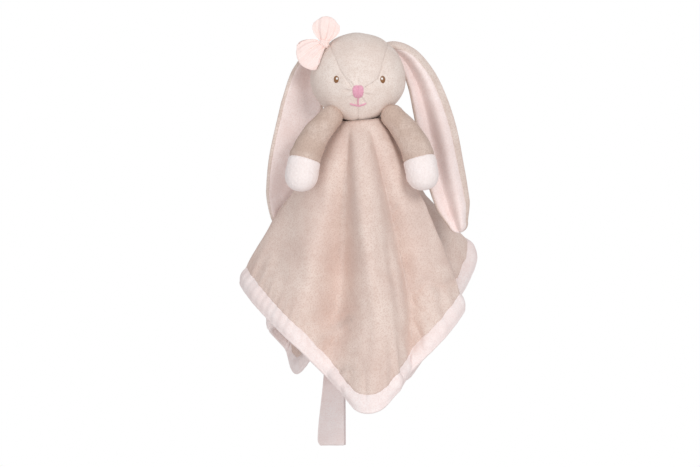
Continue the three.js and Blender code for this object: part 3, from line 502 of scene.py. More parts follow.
def smooth_curve(points, closed_on_itself, where):
    """Points on the centripetal Catmull-Rom curve through a row of points: a cubic between each two,
    whose slopes weigh the steps before and after it by the root of their length. where runs from 0 to 1."""
    points = np.asarray(points, float)
    count = len(points)
    if closed_on_itself:
        place = where * count
        i = np.floor(place).astype(int)
        pick = [points[(i + k) % count] for k in (-1, 0, 1, 2)]
    else:
        place = where * (count - 1)
        i = np.minimum(np.floor(place).astype(int), count - 2)
        full = np.concatenate([[2 * points[0] - points[1]], points, [2 * points[-1] - points[-2]]])
        pick = [full[i + k] for k in (0, 1, 2, 3)]
    a, b, c, d = pick
    u = (place - i)[:, None]
    s0, s1, s2 = [np.maximum(np.linalg.norm(q - p, axis=1, keepdims=True), 1e-9) ** 0.5
                  for p, q in ((a, b), (b, c), (c, d))]
    start = ((b - a) / s0 - (c - a) / (s0 + s1) + (c - b) / s1) * s1
    end = ((c - b) / s1 - (d - b) / (s1 + s2) + (d - c) / s2) * s1
    return b + start * u + (3 * (c - b) - 2 * start - end) * u ** 2 + (2 * (b - c) + start + end) * u ** 3


ear_length, ear_width, ear_half_thick, tip_share, thin_velour = 160.0, 38.0, 2.35, 0.03, 1.2

# Each station is the middle of the ear as it hangs from its root: how far to the right, to the back and up,
# as shares of its length, and how wide it is there as a share of its width.
left_ear_stations = [[0.1, -0.02, -0.01, 0.2], [0, 0, 0, 0.26], [-0.062, 0.03, -0.12, 0.58],
                     [-0.085, 0.07, -0.29, 0.9], [-0.135, 0.1, -0.56, 1], [-0.178, 0.14, -0.77, 0.82],
                     [-0.19, 0.17, -0.9, 0.5], [-0.195, 0.18, -0.965, 0.16]]
right_ear_stations = [[-0.07, 0, -0.005, 0.22], [0, 0, 0, 0.3], [0.075, 0.01, -0.05, 0.47],
                      [0.147, 0.02, -0.165, 0.64], [0.197, 0.03, -0.31, 0.78], [0.238, 0.04, -0.48, 0.86],
                      [0.278, 0.045, -0.68, 0.84], [0.318, 0.05, -0.84, 0.72], [0.345, 0.055, -0.94, 0.4]]

# Where the seam runs over the front, from root to tip, as shares of the width from the inner edge.
left_ear_seam = [0.86, 0.93, 0.95, 0.955, 0.955, 0.94]
right_ear_seam = [0.36, 0.66, 0.78, 0.83, 0.86, 0.88]
left_ear_root = np.array([-34.8, 13.6, -15.0])
right_ear_root = np.array([31.6, 10.88, -12.75])


def left_ear_depth(a, s):
    """The left ear is dished: its outer half comes forward, most of all near the root."""
    cup = 2.6 * bell(s - 0.2, 0.11) * bell(a - 0.42, 0.3)
    return ear_width * (0.34 * ease(a) * (1 - 0.5 * s) - 0.1 * np.sin(np.pi * a)) - cup


def right_ear_depth(a, s):
    """The right ear is folded along its length: a gutter at a third, and a roll beside the outer edge."""
    gutter = 0.3 + 0.06 * s
    roll = 0.15 + 0.05 * s
    return ear_width * (roll * bell(a - 0.66, 0.24) - 0.14 * bell(a - gutter, 0.17))


def ear_grid(root, stations, depth_at, out, path, s):
    """Points of the ear's skin: the spine's place, plus the ear's width sideways, less its depth toward the
    front, and half its thickness to either side. path gives the place across the ear, its side (-1 front,
    1 back) and how thick it is there; s runs from the root to the tip, and past 1 round the tip."""
    a, side, half = path
    stations = np.asarray(stations, float)
    on = np.clip(s, 0, 1)
    spine = smooth_curve(stations[:, :3], False, on)
    step = 1e-3
    way = unit(smooth_curve(stations[:, :3], False, np.minimum(on + step, 1)) -
               smooth_curve(stations[:, :3], False, np.maximum(on - step, 0)))
    even = np.linspace(0, 1, 200)
    wide = ear_width * np.interp(on, even, smooth_curve(stations[:, 3:] * [1, 0, 0], False, even)[:, 0])
    past = np.clip(s - 1, 0, None) / tip_share
    tip = np.sqrt(np.clip(1 - np.minimum(past, 1) ** 2, 0, 1))
    spine = spine * ear_length + root + way * (np.minimum(past, 1) * wide / 2 * 0.9)[:, None]
    flat = unit(np.stack([-way[:, 2], 0 * way[:, 0], way[:, 0]], -1)) * out
    size = np.minimum(1, wide / (ear_width * 0.6))
    p = spine[:, None] + flat[:, None] * ((a - 0.5) * (wide * tip)[:, None])[..., None]
    thick = half * (size ** 0.5 * tip)[:, None]
    depth = depth_at(a, s[:, None]) * size[:, None] * tip[:, None]
    p[..., 1] += -depth + ear_half_thick * (size ** 0.5)[:, None] + side * thick
    return p


def across_ear(start, end, count):
    """A way round the ear's section, from start to end: 0 to 1 is the front from the inner to the outer
    edge, and 1 to 2 the back again. The edges are round, so steps are short there."""
    start, end = np.broadcast_arrays(start, end)
    round_it = np.linspace(start.ravel(), end.ravel(), count, axis=1)
    front = round_it <= 1
    a = np.where(front, round_it, 2 - round_it)
    a = (1 - np.cos(np.pi * np.clip(a, 0, 1))) / 2
    side = np.where(front, -1.0, 1.0)
    half = ear_half_thick * (1 - np.abs(2 * a - 1) ** 4.5) ** 0.5
    return a, side, half


# The same taupe velour as the head's, and a finer pink one with a shorter pile, so its grain is lower.
taupe_ear = pile_cloth("velour_taupe_ear", "#eddfd7", "#e2d1c8", "#c6ada0", tuft=1.2, lay=26)
pink_ear = pile_cloth("velour_pink_ear_lining", "#fcf0ee", "#f7e8e5", "#e8d2cd", tuft=1.1, lay=34, lift=0.1)


def seam_place(share):
    """The place on the ear's section, 0 to 1, whose distance from the inner edge is that share."""
    return np.arccos(1 - 2 * np.asarray(share)) / np.pi


inner_seam, seam_sink = 0.12, 0.8
for side, root, stations, depth_at, out, seam, back_puff in (
        ("left", left_ear_root, left_ear_stations, left_ear_depth, -1, left_ear_seam, 0.9),
        ("right", right_ear_root, right_ear_stations, right_ear_depth, 1, right_ear_seam, 2.7)):
    s = np.concatenate([np.linspace(0, 1, 170), 1 + tip_share * np.sin(np.linspace(0, np.pi / 2, 9)[1:])])
    outer_seam = seam_place(np.interp(s, np.linspace(0, 1, 6), seam))
    front = ear_grid(root, stations, depth_at, out, across_ear(inner_seam, outer_seam, 90), s)
    from_seam = np.linspace(0, 1, 90) * ear_width * 0.9
    front[..., 1] += seam_sink * (bell(from_seam, 0.8) + bell(from_seam - from_seam[-1], 0.8))
    front[..., 1] += 0.25 * ripple(front, 9, 41) + 0.1 * ripple(front, 2.6, 42, 16)
    a, back_side, half = across_ear(outer_seam, 2.0, 150)
    wrap = ear_grid(root, stations, depth_at, out, (a, back_side, half), s)
    wrap[..., 1] += np.where(back_side > 0, back_puff * np.sin(np.pi * a) ** 2, 0)
    inner_edge = across_ear(0.01 + 0 * outer_seam, inner_seam, 9)
    wrap = np.concatenate([wrap, ear_grid(root, stations, depth_at, out, inner_edge, s)], 1)
    wrap[..., 1] += 0.3 * ripple(wrap, 8, 43) + 0.15 * ripple(wrap, 2.4, 44, 16)
    for name, replaced, points, velour in (("pink_lining", "lining", front, pink_ear),
                                           ("taupe_outer", "outer", wrap, taupe_ear)):
        faces = patch_faces(*points.shape[:2])[:, ::out]
        part = thicken(weld(f"ear_{side}_{name}", points, faces, closed=False), thin_velour)
        dress(part, velour, f"ear_{side}", f"ear_{side}_{replaced}")

# Arms: stuffed tubes of taupe velour, each with a paw of longer, paler plush sewn on at the cuff. The
# shoulder is gathered and sewn to the neck seam, and the arm hangs down and a little outward.

arm_length, paw_length, paw_end = 70.5, 26.0, 13.0
shoulder_radius, cuff_radius, paw_radius, plush = 8.8, 12.0, 12.2, 0.5
arm_pivots = {"left": np.array([-22.9, -16.414, -73.0]), "right": np.array([29.418, -14.347, -71.919])}
arm_bend = np.array([[0, 0, 0], [-0.165, -0.08, -0.2], [-0.295, -0.14, -0.45], [-0.35, -0.165, -0.7],
                     [-0.37, -0.175, -0.93]]) * arm_length
cuff = arm_length - paw_length


def arm_radius(h):
    """The arm's radius at a height along it, widening to the cuff and swelling into the paw."""
    sleeve = shoulder_radius + (cuff_radius - shoulder_radius) * ease(h / cuff) ** 0.75
    paw = cuff_radius + (paw_radius - cuff_radius) * ease((h - cuff) / (paw_length * 0.35))
    return np.where(h < cuff, sleeve, paw)


def bent(side, height, radius, turns, lumps, seed):
    """A profile of heights and radii turned round a straight line, and then carried along the arm's bent
    middle line, square to it everywhere. Fine lumps and broad ones are added to the radius."""
    table = np.linspace(0, 1, 400)
    line = smooth_curve(arm_bend * [1 if side == "left" else -1, 1, 1], False, table)
    step = np.concatenate([[0], np.cumsum(np.linalg.norm(np.diff(line, axis=0), axis=1))])
    on = np.clip(height, 0, step[-1])
    spine = np.stack([np.interp(on, step, line[:, k]) for k in range(3)], -1)
    slope = np.gradient(line, axis=0)
    way = unit(np.stack([np.interp(on, step, slope[:, k]) for k in range(3)], -1))
    spine = spine + way * (height - on)[:, None] + arm_pivots[side]
    across = unit(np.cross(way, [0, -1, 0]))
    forward = np.cross(across, way)
    turn = np.linspace(0, 2 * np.pi, turns, endpoint=False)
    rim = across[:, None] * np.cos(turn)[None, :, None] + forward[:, None] * np.sin(turn)[None, :, None]
    p = spine[:, None] + rim * radius[:, None, None]
    return p + rim * (lumps * ripple(p, 2.3, seed, 16) + 0.35 * ripple(p, 12, seed + 1))[..., None]


# The sleeve's velour is the head's, coloured darker, and the paw's plush has a longer pile and a higher
# grain.
sleeve_velour = pile_cloth("velour_taupe_arm", "#dac7bc", "#ceb8ab", "#b0978a", tuft=1.1, lay=18)
paw_plush = pile_cloth("plush_pale_paw", "#fbf3f2", "#f8efed", "#efe0dd", tuft=1.3, lay=16, lift=0.4)

# Profiles of heights along the arm and radii, for both arms. The sleeve and the paw turn inward at the cuff,
# where their edges are sewn together, and the fibre inside ends short of both.
edge_gap, edge_depth = 0.15, np.array([1.2, 2.0, 2.4])
fibre_top, fibre_inset, fibre_end, fibre_radius = 6.0, 2.8, 7.6, 9.6
round_top, round_end = np.linspace(0, np.pi / 2, 22), np.linspace(0, np.pi / 2, 34)
paw_start = arm_length - paw_end
on_sleeve = np.linspace(0, cuff - edge_gap, 84)[1:]
on_paw = np.linspace(cuff + edge_gap, paw_start, 40)[:-1]
on_fibre = np.linspace(0, paw_start, 30)[1:-1]
swell = 0.35 * bell(cuff - on_sleeve - 3, 2.4)
fibre_run = arm_radius(on_fibre) - fibre_inset
arm_profiles = {
    "taupe_sleeve": (
        [-shoulder_radius * np.cos(round_top), on_sleeve, cuff + np.array([-0.5, -1.6, -2.8])],
        [shoulder_radius * np.sin(round_top), arm_radius(on_sleeve) - bell(cuff - on_sleeve, 0.9) + swell,
         cuff_radius - edge_depth]),
    "plush_paw": (
        [cuff + np.array([2.6, 1.5, 0.5]), on_paw, paw_start + paw_end * np.sin(round_end) ** 0.95],
        [cuff_radius - edge_depth[::-1], arm_radius(on_paw) + plush - 1.2 * bell(on_paw - cuff, 0.8),
         (paw_radius + plush) * np.cos(round_end) ** 0.9]),
    "fibre": (
        [-fibre_top * np.cos(round_top), on_fibre, paw_start + fibre_end * np.sin(round_end)],
        [fibre_top * np.sin(round_top), fibre_run, fibre_radius * np.cos(round_end)]),
}
for side in ("left", "right"):
    for name, replaced, material, turns, lumps, seed in (
            ("taupe_sleeve", "sleeve", sleeve_velour, 128, 0.16, 51),
            ("plush_paw", "paw", paw_plush, 150, 0.3, 61),
            ("fibre", "stuffing", fibre_white, 40, 0.3, 71)):
        heights, radii = [np.concatenate(column) for column in arm_profiles[name]]
        p = bent(side, heights, radii, turns, lumps, seed)
        for end in (0, -1):
            if radii[end] < 1e-6:
                p[end] = p[end].mean(0)
        stuffing = name == "fibre"
        part = weld(f"arm_{side}_{name}", p, patch_faces(*p.shape[:2], True), closed=stuffing)
        if not stuffing:
            thicken(part, thin_velour)
        dress(part, material, f"arm_{side}", f"arm_{side}_{replaced}")

# Bow: crinkled cotton gauze. Each loop is a strip with raw edges, doubled back to the knot, where it is
# drawn into deep pleats that fan out and fade toward the fold. The knot is a short strip wound round them.

bow_knot, loop_width, gauze_cloth = 8.4, 22.0, 0.35
head_middle = np.array([0, 0, -head_height / 2])
head_halves = np.array([head_width, head_depth, head_height]) / 2


def knot_centre():
    """The knot sits on the head's upper left, half sunk in the velour."""
    way = unit(np.array([-0.651, -0.371, 0.662]))
    return head_point(way, 0.35 + bow_knot * 0.42)


def gauze_loop(name, direction, spread, length, pleats, seed):
    """One loop. u runs along the strip from the knot out, round the fold and back, v across it. The strip
    is narrow at the knot and wide at the fold, whose line is an arc. Pleats are waves across the strip, and
    what would sink into the head is pushed out of it."""
    rng = np.random.default_rng(seed)
    direction = unit(np.array(direction))
    across = unit(np.cross(direction, [0.0, -1.0, 0.0]))
    lift = np.cross(across, direction)
    u, v = np.linspace(0, 1, 110)[:, None], np.linspace(-1, 1, 120)[None]
    out = np.sin(np.pi * u)
    far = (0.5 - 0.5 * np.cos(2 * np.pi * u)) ** 0.62
    fan = 0.24 + 0.76 * np.sin(np.minimum(1, 0.08 + far) * np.pi * 0.6) ** 0.8
    wave = sum(np.cos((k * np.pi * v) + rng.uniform(0, 6.3)) * a for k, a in
               ((pleats * 0.6, 0.75), (pleats * 1.27, 0.4), (pleats * 2.3, 0.15)))
    half = loop_width / 2 * spread * fan * (1 + 0.05 * np.sin(7 * u + seed))
    reach = bow_knot * 0.28 + length * far * (1 - 0.34 * v ** 2) + 0.45 * wave * far * np.abs(v)
    front = np.where(u < 0.5, 1.0, -1.0)
    puff = (0.5 + 3.6 * (out * (1 - far) + 0.5 * out * (1 - far ** 3))) * (1 - 0.5 * v ** 2)
    crease = (0.95 * (1 - far) ** 0.8 * far ** 0.25 + 0.3 * (1 - far) + 0.16) * wave
    height = front * puff * (1 - bell(u - 0.5, 0.05)) + crease
    p = knot_centre() + direction * reach[..., None] + across * (v * half)[..., None]
    p = p + lift * height[..., None]
    p = p + lift * (0.22 * ripple(p, 3.2, seed + 1, 14) + 0.14 * ripple(p, 1.6, seed + 2, 14))[..., None]
    fray = 0.35 * ripple(np.stack([u * 60 + 0 * v, 0 * u + 3 * v, 0 * u * v], -1), 2.2, seed + 3, 12)
    p = p + across * (fray * v ** 11)[..., None]
    sunk = np.clip(1.05 - np.linalg.norm((p - head_middle) / head_halves, axis=-1), 0, None)
    p = p + (p - head_middle) * sunk[..., None]
    return thicken(weld(name, p, patch_faces(*p.shape[:2]), closed=False), gauze_cloth, 0.0)


def gauze(name, light, dark, thread):
    """Cotton gauze: a plain weave whose threads can be told apart, matt and crinkled in washing. The weave
    is two sets of crossed bands, thread millimetres apart, coarser than real so that they show."""
    material, tree, shader, place = finish(name, 0.85, 0.1)
    warp, weft = [bands(tree, place, turn, thread, Distortion=2.5, Detail=1.5)
                  for turn in ((0, 0.6, 0.3), (0.2, 2.17, 0.3))]
    weave = joined(tree, warp, weft, "MAXIMUM")
    cloudy = node(tree, "ShaderNodeTexNoise", {"Vector": place, "Scale": 190, "Detail": 3}).outputs["Fac"]
    shade(tree, shader, joined(tree, weave, cloudy, "MULTIPLY"), dark, light, 0.5)
    raise_nap(tree, shader, weave, 0.25, 0.1)
    return material


pink_gauze = gauze("cotton_gauze_pink", "#feece8", "#fae0da", 0.987)
for name, direction, spread, length, pleats, seed in (
        ("bow_upper_gauze", [0.12, -0.1, 1], 1.02, 20.5, 4.5, 81),
        ("bow_lower_gauze", [-0.72, -0.16, -0.66], 1.3, 25.0, 5.5, 85)):
    loop = gauze_loop(name, direction, spread, length, pleats, seed)
    dress(loop, pink_gauze, "toy", "bow_loop_" + name.split("_")[1])
knot_ways, knot_faces = quad_sphere(30)
turn = np.arctan2(knot_ways[:, 2], knot_ways[:, 0])
waist = 1 - 0.13 * np.hypot(knot_ways[:, 0], knot_ways[:, 2]) * np.cos(3 * turn + 0.6)
folds_in_knot = 0.09 * np.cos(17 * knot_ways[:, 0] + 4 * knot_ways[:, 2] + 2 * np.sin(5 * knot_ways[:, 2]))
knot_halves = bow_knot / 2 * np.array([1.08, 0.92, 0.96])
knot = knot_centre() + knot_ways * knot_halves * (waist + folds_in_knot)[:, None]
dress(weld("bow_gauze_knot", knot, knot_faces), pink_gauze, "toy", "bow_knot")

# Blanket: a square of taupe velour with a pink velour lining, sewn and turned. The lining is cut larger and
# turned over the edge to the front, as the pale border. The middle is gathered and sewn under the head, and
# from there the cloth hangs in folds.

blanket_side, blanket_corner, neck_radius, neck_gap = 372.0, 22.0, 16.0, 0.8
apex = np.array([3.6, 0.0, -70.0])

# Rays of cloth run from the neck to the hem. The table gives the main ones as they hang, from the front
# corner round by the right: how far each leans to the right and to the back, as shares of its length, and
# by what share it leans out further near the neck.
front_right = [[0.02, -0.15, 0.2], [0.125, -0.12, 0.2], [0.172, -0.065, 0.2], [0.275, -0.065, 0.2],
               [0.455, 0.08, 0.45], [0.445, 0.15, 0.4]]
tucked_behind_right = [[-0.02, 0.03, 0], [-0.09, 0.085, 0], [-0.01, 0.17, -0.1]]
lobe_behind_right_ear = [[0.09, 0.32, -0.1], [0.34, 0.42, -0.1], [0.54, 0.53, -0.08], [0.51, 0.61, -0.1]]
back_to_strap = [[0.14, 0.4, 0], [0.05, 0.37, 0], [-0.04, 0.51, 0], [-0.13, 0.49, 0]]
tucked_behind_back = [[-0.085, 0.17, 0], [-0.13, 0.14, 0]]
fold_behind_left = [[-0.27, 0.6, 0.1], [-0.4, 0.41, 0.1], [-0.385, 0.3, 0.1], [-0.365, 0.36, 0.1],
                    [-0.32, 0.42, 0.1], [-0.26, 0.43, 0.3]]
tucked_behind_left = [[-0.21, 0.21, 0.5], [-0.255, 0.13, 0.6]]
front_left = [[-0.53, 0.3, 0.3], [-0.57, 0.22, 0.3], [-0.3, -0.09, 0.3], [-0.13, -0.05, 0.2]]
fold_table = np.array(front_right + tucked_behind_right + lobe_behind_right_ear + back_to_strap
                      + tucked_behind_back + fold_behind_left + tucked_behind_left + front_left)


def cloth_reach(angle):
    """Length of a ray of the flat square with round corners, at an angle from its front corner."""
    half, quarter = blanket_side / 2, np.pi / 2
    off = np.abs(angle - quarter * np.round(angle / quarter))
    centre = (half - blanket_corner) * math.sqrt(2)
    corner_end = np.pi / 4 - math.atan2(half - blanket_corner, half)
    rounded = centre * np.cos(off) + np.sqrt(np.maximum(blanket_corner ** 2 - (centre * np.sin(off)) ** 2, 0))
    return np.where(off < corner_end, rounded, half / np.cos(np.pi / 4 - off))


def fold_rays(columns):
    """Rays round the cloth: they lie on a smooth curve through the table's, and the angle between two rays
    in the flat cloth is the curve's length between them. Columns are closer where it turns."""
    count = 6000
    curve = smooth_curve(fold_table, True, np.arange(count) / count)
    curve = np.concatenate([curve, curve[:1]])
    ray = np.stack([curve[:, 0], curve[:, 1], -np.sqrt(1 - curve[:, 0] ** 2 - curve[:, 1] ** 2)], -1)
    step = np.linalg.norm(np.diff(ray, axis=0), axis=1)
    way = unit(np.diff(ray, axis=0))
    turned = np.arccos(np.clip((way * np.roll(way, -1, axis=0)).sum(-1), -1, 1))
    angle = np.concatenate([[0], np.cumsum(step)])
    weight = np.concatenate([[0], np.cumsum(step + 0.12 * turned)])
    at = np.linspace(0, weight[-1], columns, endpoint=False)
    pick = [np.interp(at, weight, value) for value in (*ray.T, curve[:, 2], angle)]
    return unit(np.stack(pick[:3], -1)), pick[3], pick[4] / angle[-1] * 2 * np.pi


def head_underside(x, y):
    """Height of the head's underside over the plan: the lower half of the stretched ball, less the chin."""
    ball = np.sqrt(np.maximum(1 - (x / (head_width / 2)) ** 2 - (y / (head_depth / 2)) ** 2, 0))
    return -ball * head_height / 2 - head_height / 2 - chin(x, y)


def cloth_points(rays, bow, flat, t):
    """The hanging cloth's middle layer. t runs from the neck, 0, to the hem, 1. Near the neck the cloth is a
    steep cone on the gathered ring, wider at the back, and further down it hangs along its rays."""
    reach = cloth_reach(flat)
    tilt = np.arccos(-rays[:, 2]) * (1 + bow * (1 - t))
    side = unit(rays * [1, 1, 0])
    hung = side * (reach * t * np.sin(tilt))[..., None] + [0, 0, 1] * (-reach * t * np.cos(tilt))[..., None]
    cone = np.radians(37 + 2.5 * (1 - np.cos(flat)))
    radius = neck_radius + (reach - neck_radius) * t * np.sin(cone)
    inner = neck_radius - 1.5
    x, y = apex[0] + np.sin(flat) * inner, -np.cos(flat) * inner
    height = (head_underside(x, y) - neck_gap - apex[2]) * (1 - t) - reach * t * np.cos(cone)
    drawn = flat + 0.45 * np.sin(2 * flat)
    ring = np.stack([np.sin(drawn) * radius, -np.cos(drawn) * radius, height], -1)
    return ring + (hung - ring) * ease(t / 0.6)[..., None] + apex


def from_line(x, z, line):
    """The shortest distance in the front view from points to a row of points joined by straight lines."""
    nearest = np.full(x.shape, 1e3)
    for (x0, z0), (x1, z1) in zip(line[:-1], line[1:]):
        dx, dz = x1 - x0, z1 - z0
        share = np.clip(((x - x0) * dx + (z - z0) * dz) / (dx * dx + dz * dz), 0, 1)
        nearest = np.minimum(nearest, np.hypot(x - x0 - share * dx, z - z0 - share * dz))
    return nearest


# The three long folds of the front: a valley, the ridge beside it and a second valley. Each is given from the
# neck down by x and z, its reach to the left and to the right of that line, and how far it stands out (or,
# where negative, is drawn in). The power before it is 2 for a round top and 4 for a broad one.
fold_start = -80
long_folds = (
    (2, [(-6.5, -80, 8, 3, -2), (-8.5, -122, 11, 4, -9), (-9.5, -166, 14, 5, -12.5), (-11, -204, 16, 8, -13),
         (-14, -241, 16, 13, -11.5), (-16, -268, 13, 12, -5), (-18, -288, 9, 9, 0)]),
    (4, [(0, -80, 6, 7, 2), (4, -122, 9, 12, 5), (10, -166, 11, 16, 6.5), (18, -204, 13, 18, 6.5),
         (24, -241, 13, 17, 6.5), (25, -285, 13, 15, 4.5), (25, -305, 12, 12, 0)]),
    (2, [(9, -80, 3, 6, -2), (19, -122, 3.5, 8, -8), (30, -166, 4, 10, -10.5), (39, -204, 4, 12, -11.5),
         (44, -241, 4, 12, -11), (46, -270, 4, 11, -7.5), (44, -292, 4, 8, 0)]),
)

# The small folds of the front: the line of each, how wide it is, and how far it stands out or is drawn in.
front_folds = (
    ([(34, -150), (26, -158)], 2.6, -3.0),
    ([(85, -212), (70, -217), (57, -212), (48, -224)], 4.0, -4.2),
    ([(53, -196), (79, -204)], 8.0, 3.2),
    ([(-3, -234), (-22, -241), (-42, -248)], 5.5, -4.6),
    ([(-6, -244), (-35, -263)], 4.5, 3.0),
    ([(0, -250), (-14, -262), (-24, -267)], 4.2, -2.8),
    ([(4, -282), (-11, -301)], 3.2, -2.6),
    ([(-4, -284), (-20, -291)], 3.0, 2.0),
    ([(47, -229), (57, -241)], 2.8, -2.2),
    ([(54, -224), (68, -234)], 2.8, -2.0),
    ([(40, -250), (47, -267)], 3.2, -2.6),
    ([(45, -246), (55, -257)], 2.6, -1.8),
    ([(-44, -156), (-39, -207)], 10.0, 2.6),
    ([(-62, -150), (-66, -205)], 9.0, -2.0),
)

# The cloth's middle layer, on a grid: body_count rows from the neck to the border, of which the last is also
# the first of the border's. The hem's row stops short of the flat outline by the depth of the turned edge,
# but nearly reaches it at the front and back corners.
columns, body_count, border_count, border, turned_edge = 680, 58, 9, 12.0, 2.2
rays, bow, flat = fold_rays(columns)
reach = cloth_reach(flat)
rim_width = turned_edge - 1.8 * bell(np.abs(np.sin(flat)), 0.25)
border_at = 1 - (border + rim_width) / reach
levels = np.linspace(0, 1, body_count)[:, None] ** 1.05 * border_at
levels = np.concatenate([levels, border_at + border / reach * np.linspace(0, 1, border_count)[1:, None]])
middle_layer = cloth_points(rays, bow, flat, levels)


def arrows(p):
    """The cloth's outward arrows and its downward ones, from the steps between its points."""
    down = unit(np.gradient(p, axis=0))
    along = unit(np.roll(p, -1, axis=1) - np.roll(p, 1, axis=1))
    return unit(np.cross(down, along)), down


# The hem's stitches draw the cloth into gathers, 9 mm apart, and wider pulls, 17 mm apart, both uneven.
outward, downward = arrows(middle_layer)
hem_step = np.linalg.norm(np.diff(middle_layer[-1], axis=0, append=middle_layer[-1, :1]), axis=1)
around_hem = np.concatenate([[0], np.cumsum(hem_step)[:-1]])
from_hem = (1 - levels) * reach
gather_step, pull_step = 9.0, 17.0
wander = 2.2 * np.sin(around_hem / 57) + 1.3 * np.sin(around_hem / 23)
gathers = np.sin(around_hem / gather_step * 2 * np.pi + wander)
strong = 0.55 + 0.45 * np.sin(around_hem / 83 + 0.7) * np.sin(around_hem / 31)
pulls = np.sin(around_hem / pull_step * 2 * np.pi + 2.6 * np.sin(around_hem / 47))
pulls = pulls * (0.5 + 0.5 * np.sin(around_hem / 61 + 1.1))
pucker = gathers * strong * 0.72 * bell(from_hem - 15, 11) + pulls * 1.2 * bell(from_hem - 24, 17)
sway = 1.5 * ripple(middle_layer, 62, 91) * ease(levels / 0.5)
sway = sway + 0.55 * ripple(middle_layer, 24, 92) * ease(levels / 0.35)
middle_layer = middle_layer + outward * (pucker + sway)[..., None]
in_front = ease((-outward[..., 1] - 0.05) / 0.4)
for power, line in long_folds:
    x, z, before, after, height = [np.interp(-middle_layer[..., 2], -np.array(line)[:, 1], column)
                                   for column in np.array(line, float).T]
    off = middle_layer[..., 0] - x
    shape = np.exp(-np.abs(off / np.where(off < 0, before, after)) ** power)
    below_neck = ease((fold_start - middle_layer[..., 2]) / 12)
    middle_layer[..., 1] -= height * shape * in_front * below_neck
for line, width, height in front_folds:
    near = from_line(middle_layer[..., 0], middle_layer[..., 2], line)
    middle_layer[..., 1] -= height * bell(near, width) * in_front
outward, downward = arrows(middle_layer)


def turn_room(p):
    """How tightly the cloth turns round its folds: the radius on its inner side, and which side that is."""
    before = p - np.roll(p, 1, axis=1)
    after = np.roll(p, -1, axis=1) - p
    length = np.minimum(np.linalg.norm(before, axis=-1), np.linalg.norm(after, axis=-1))
    bend = np.arccos(np.clip((unit(before) * unit(after)).sum(-1), -1, 1))
    inside = np.sign(((unit(after) - unit(before)) * outward).sum(-1))
    radius = length / np.maximum(bend, 1e-3)
    radius = np.minimum.reduce([radius, np.roll(radius, 1, 1), np.roll(radius, -1, 1)])
    return radius, inside


radius_of_turn, inner_side = turn_room(middle_layer)


def layer(rows, distance, up=0.0):
    """Rows of the cloth moved outward by a distance, less where that side is the inside of a tight turn."""
    distance = np.broadcast_to(distance, outward[rows].shape[:2])
    squeezed = np.minimum(np.abs(distance), np.maximum(0.8 * radius_of_turn[rows], 0.5))
    kept = np.where(np.sign(distance) == inner_side[rows], squeezed, np.abs(distance)) * np.sign(distance)
    return middle_layer[rows] + outward[rows] * kept[..., None] - downward[rows] * up


# Two velours of the same kind: the taupe one as on the head, with broader drifts because the cloth is handled
# more, and a finer pink one with a shorter pile, so its grain is lower.
blanket_velour = pile_cloth("velour_taupe_blanket", "#ecdbd2", "#e5d1c8", "#caab9d", tuft=1.1, lay=40)
blanket_lining = pile_cloth("velour_pink_lining", "#fdf4f3", "#fbeeec", "#f0d9d5", tuft=1.1, lay=30, lift=0.1)

half_gap, face_cloth, lining_cloth, face_inset = 0.25, 1.5, 1.2, 0.3
seam_row, hem_row = body_count - 1, len(levels) - 1
body_rows, hem_rows = np.arange(body_count), np.arange(seam_row, hem_row + 1)
grain = 0.12 * ripple(middle_layer, 3.1, 95, 16)
over = layer(body_rows, half_gap + face_cloth + grain[body_rows])
under = layer(body_rows, half_gap)
over[-1] -= downward[seam_row] * face_inset
under[-1] -= downward[seam_row] * face_inset
face = shell("blanket_taupe_face", over, under, around=True)
dress(face, blanket_velour, "toy", "blanket_face")

# The lining's section, as rows of one closed loop: down beside the face, out below its edge, up in a lip that
# lies over that edge, down the puffed border, round the hem and back up the far side.
share = np.linspace(0, 1, border_count)[:, None]
puff = 1.85 + 2.3 * np.sin(np.pi * np.clip(share * 0.88 + 0.04, 0, 1)) ** 0.9
outside = layer(hem_rows, puff + 0.12 * gathers * strong * (1 - share))
lip = [layer(hem_rows[:1], away, up) for away, up in ((1.0, -0.1), (1.2, 2.6), (2.05, 1.3))]
fold = np.linspace(0.12, np.pi - 0.12, 9)[:, None, None]
edge_out, edge_in = outside[-1], layer(hem_rows[-1:], -half_gap - lining_cloth)[0]
core, rim = (edge_out + edge_in) / 2, (edge_out - edge_in) / 2
turned = core + rim * np.cos(fold) + downward[hem_row] * (turned_edge * np.sin(fold))
far_side = layer(np.arange(hem_row + 1), -half_gap - lining_cloth - 0.2 * bell(from_hem, 14) + grain)
loop = np.concatenate([layer(body_rows, -half_gap), *lip, outside, turned, far_side[::-1]])
rows = len(loop)
faces = patch_faces(rows + 1, columns, around=True)
faces = np.where(faces >= rows * columns, faces - rows * columns, faces)
lining = weld("blanket_pink_lining", loop, faces)
dress(lining, blanket_lining, "toy", "blanket_lining")

# Neck gather: the blanket's middle, run onto a thread and drawn together into a pleated plug that is sewn
# into the head's neck opening. It is seen only from below, inside the cloth.

plug_radius, plug_foot, plug_height, plug_gap = neck_radius - lining_cloth - 0.65, -79.8, 11.9, 0.6
pleat_count, pleat_share = 24, 0.075
height_shares = [0.0, 0.02, 0.25, 0.6, 0.9, 1.0, 1.0]
radius_shares = [0.0, 0.5, 0.93, 0.96, 0.9, 0.8, 0.0]
level, turn = np.linspace(0, 1, 60)[:, None], np.linspace(0, 2 * np.pi, 192, endpoint=False)
knots = np.linspace(0, 1, len(height_shares))
plug_r = plug_radius * np.interp(level, knots, radius_shares)
pleat = 0.5 + 0.5 * np.cos(pleat_count * turn + 1.5 * np.sin(3 * turn))
plug_r = plug_r * (1 - pleat_share * pleat * np.minimum(plug_r / 5, 1))
x, y = apex[0] + plug_r * np.cos(turn), plug_r * np.sin(turn)
z = plug_foot + plug_height * np.interp(level, knots, height_shares)
z = np.minimum(z, head_underside(x, y) - plug_gap)
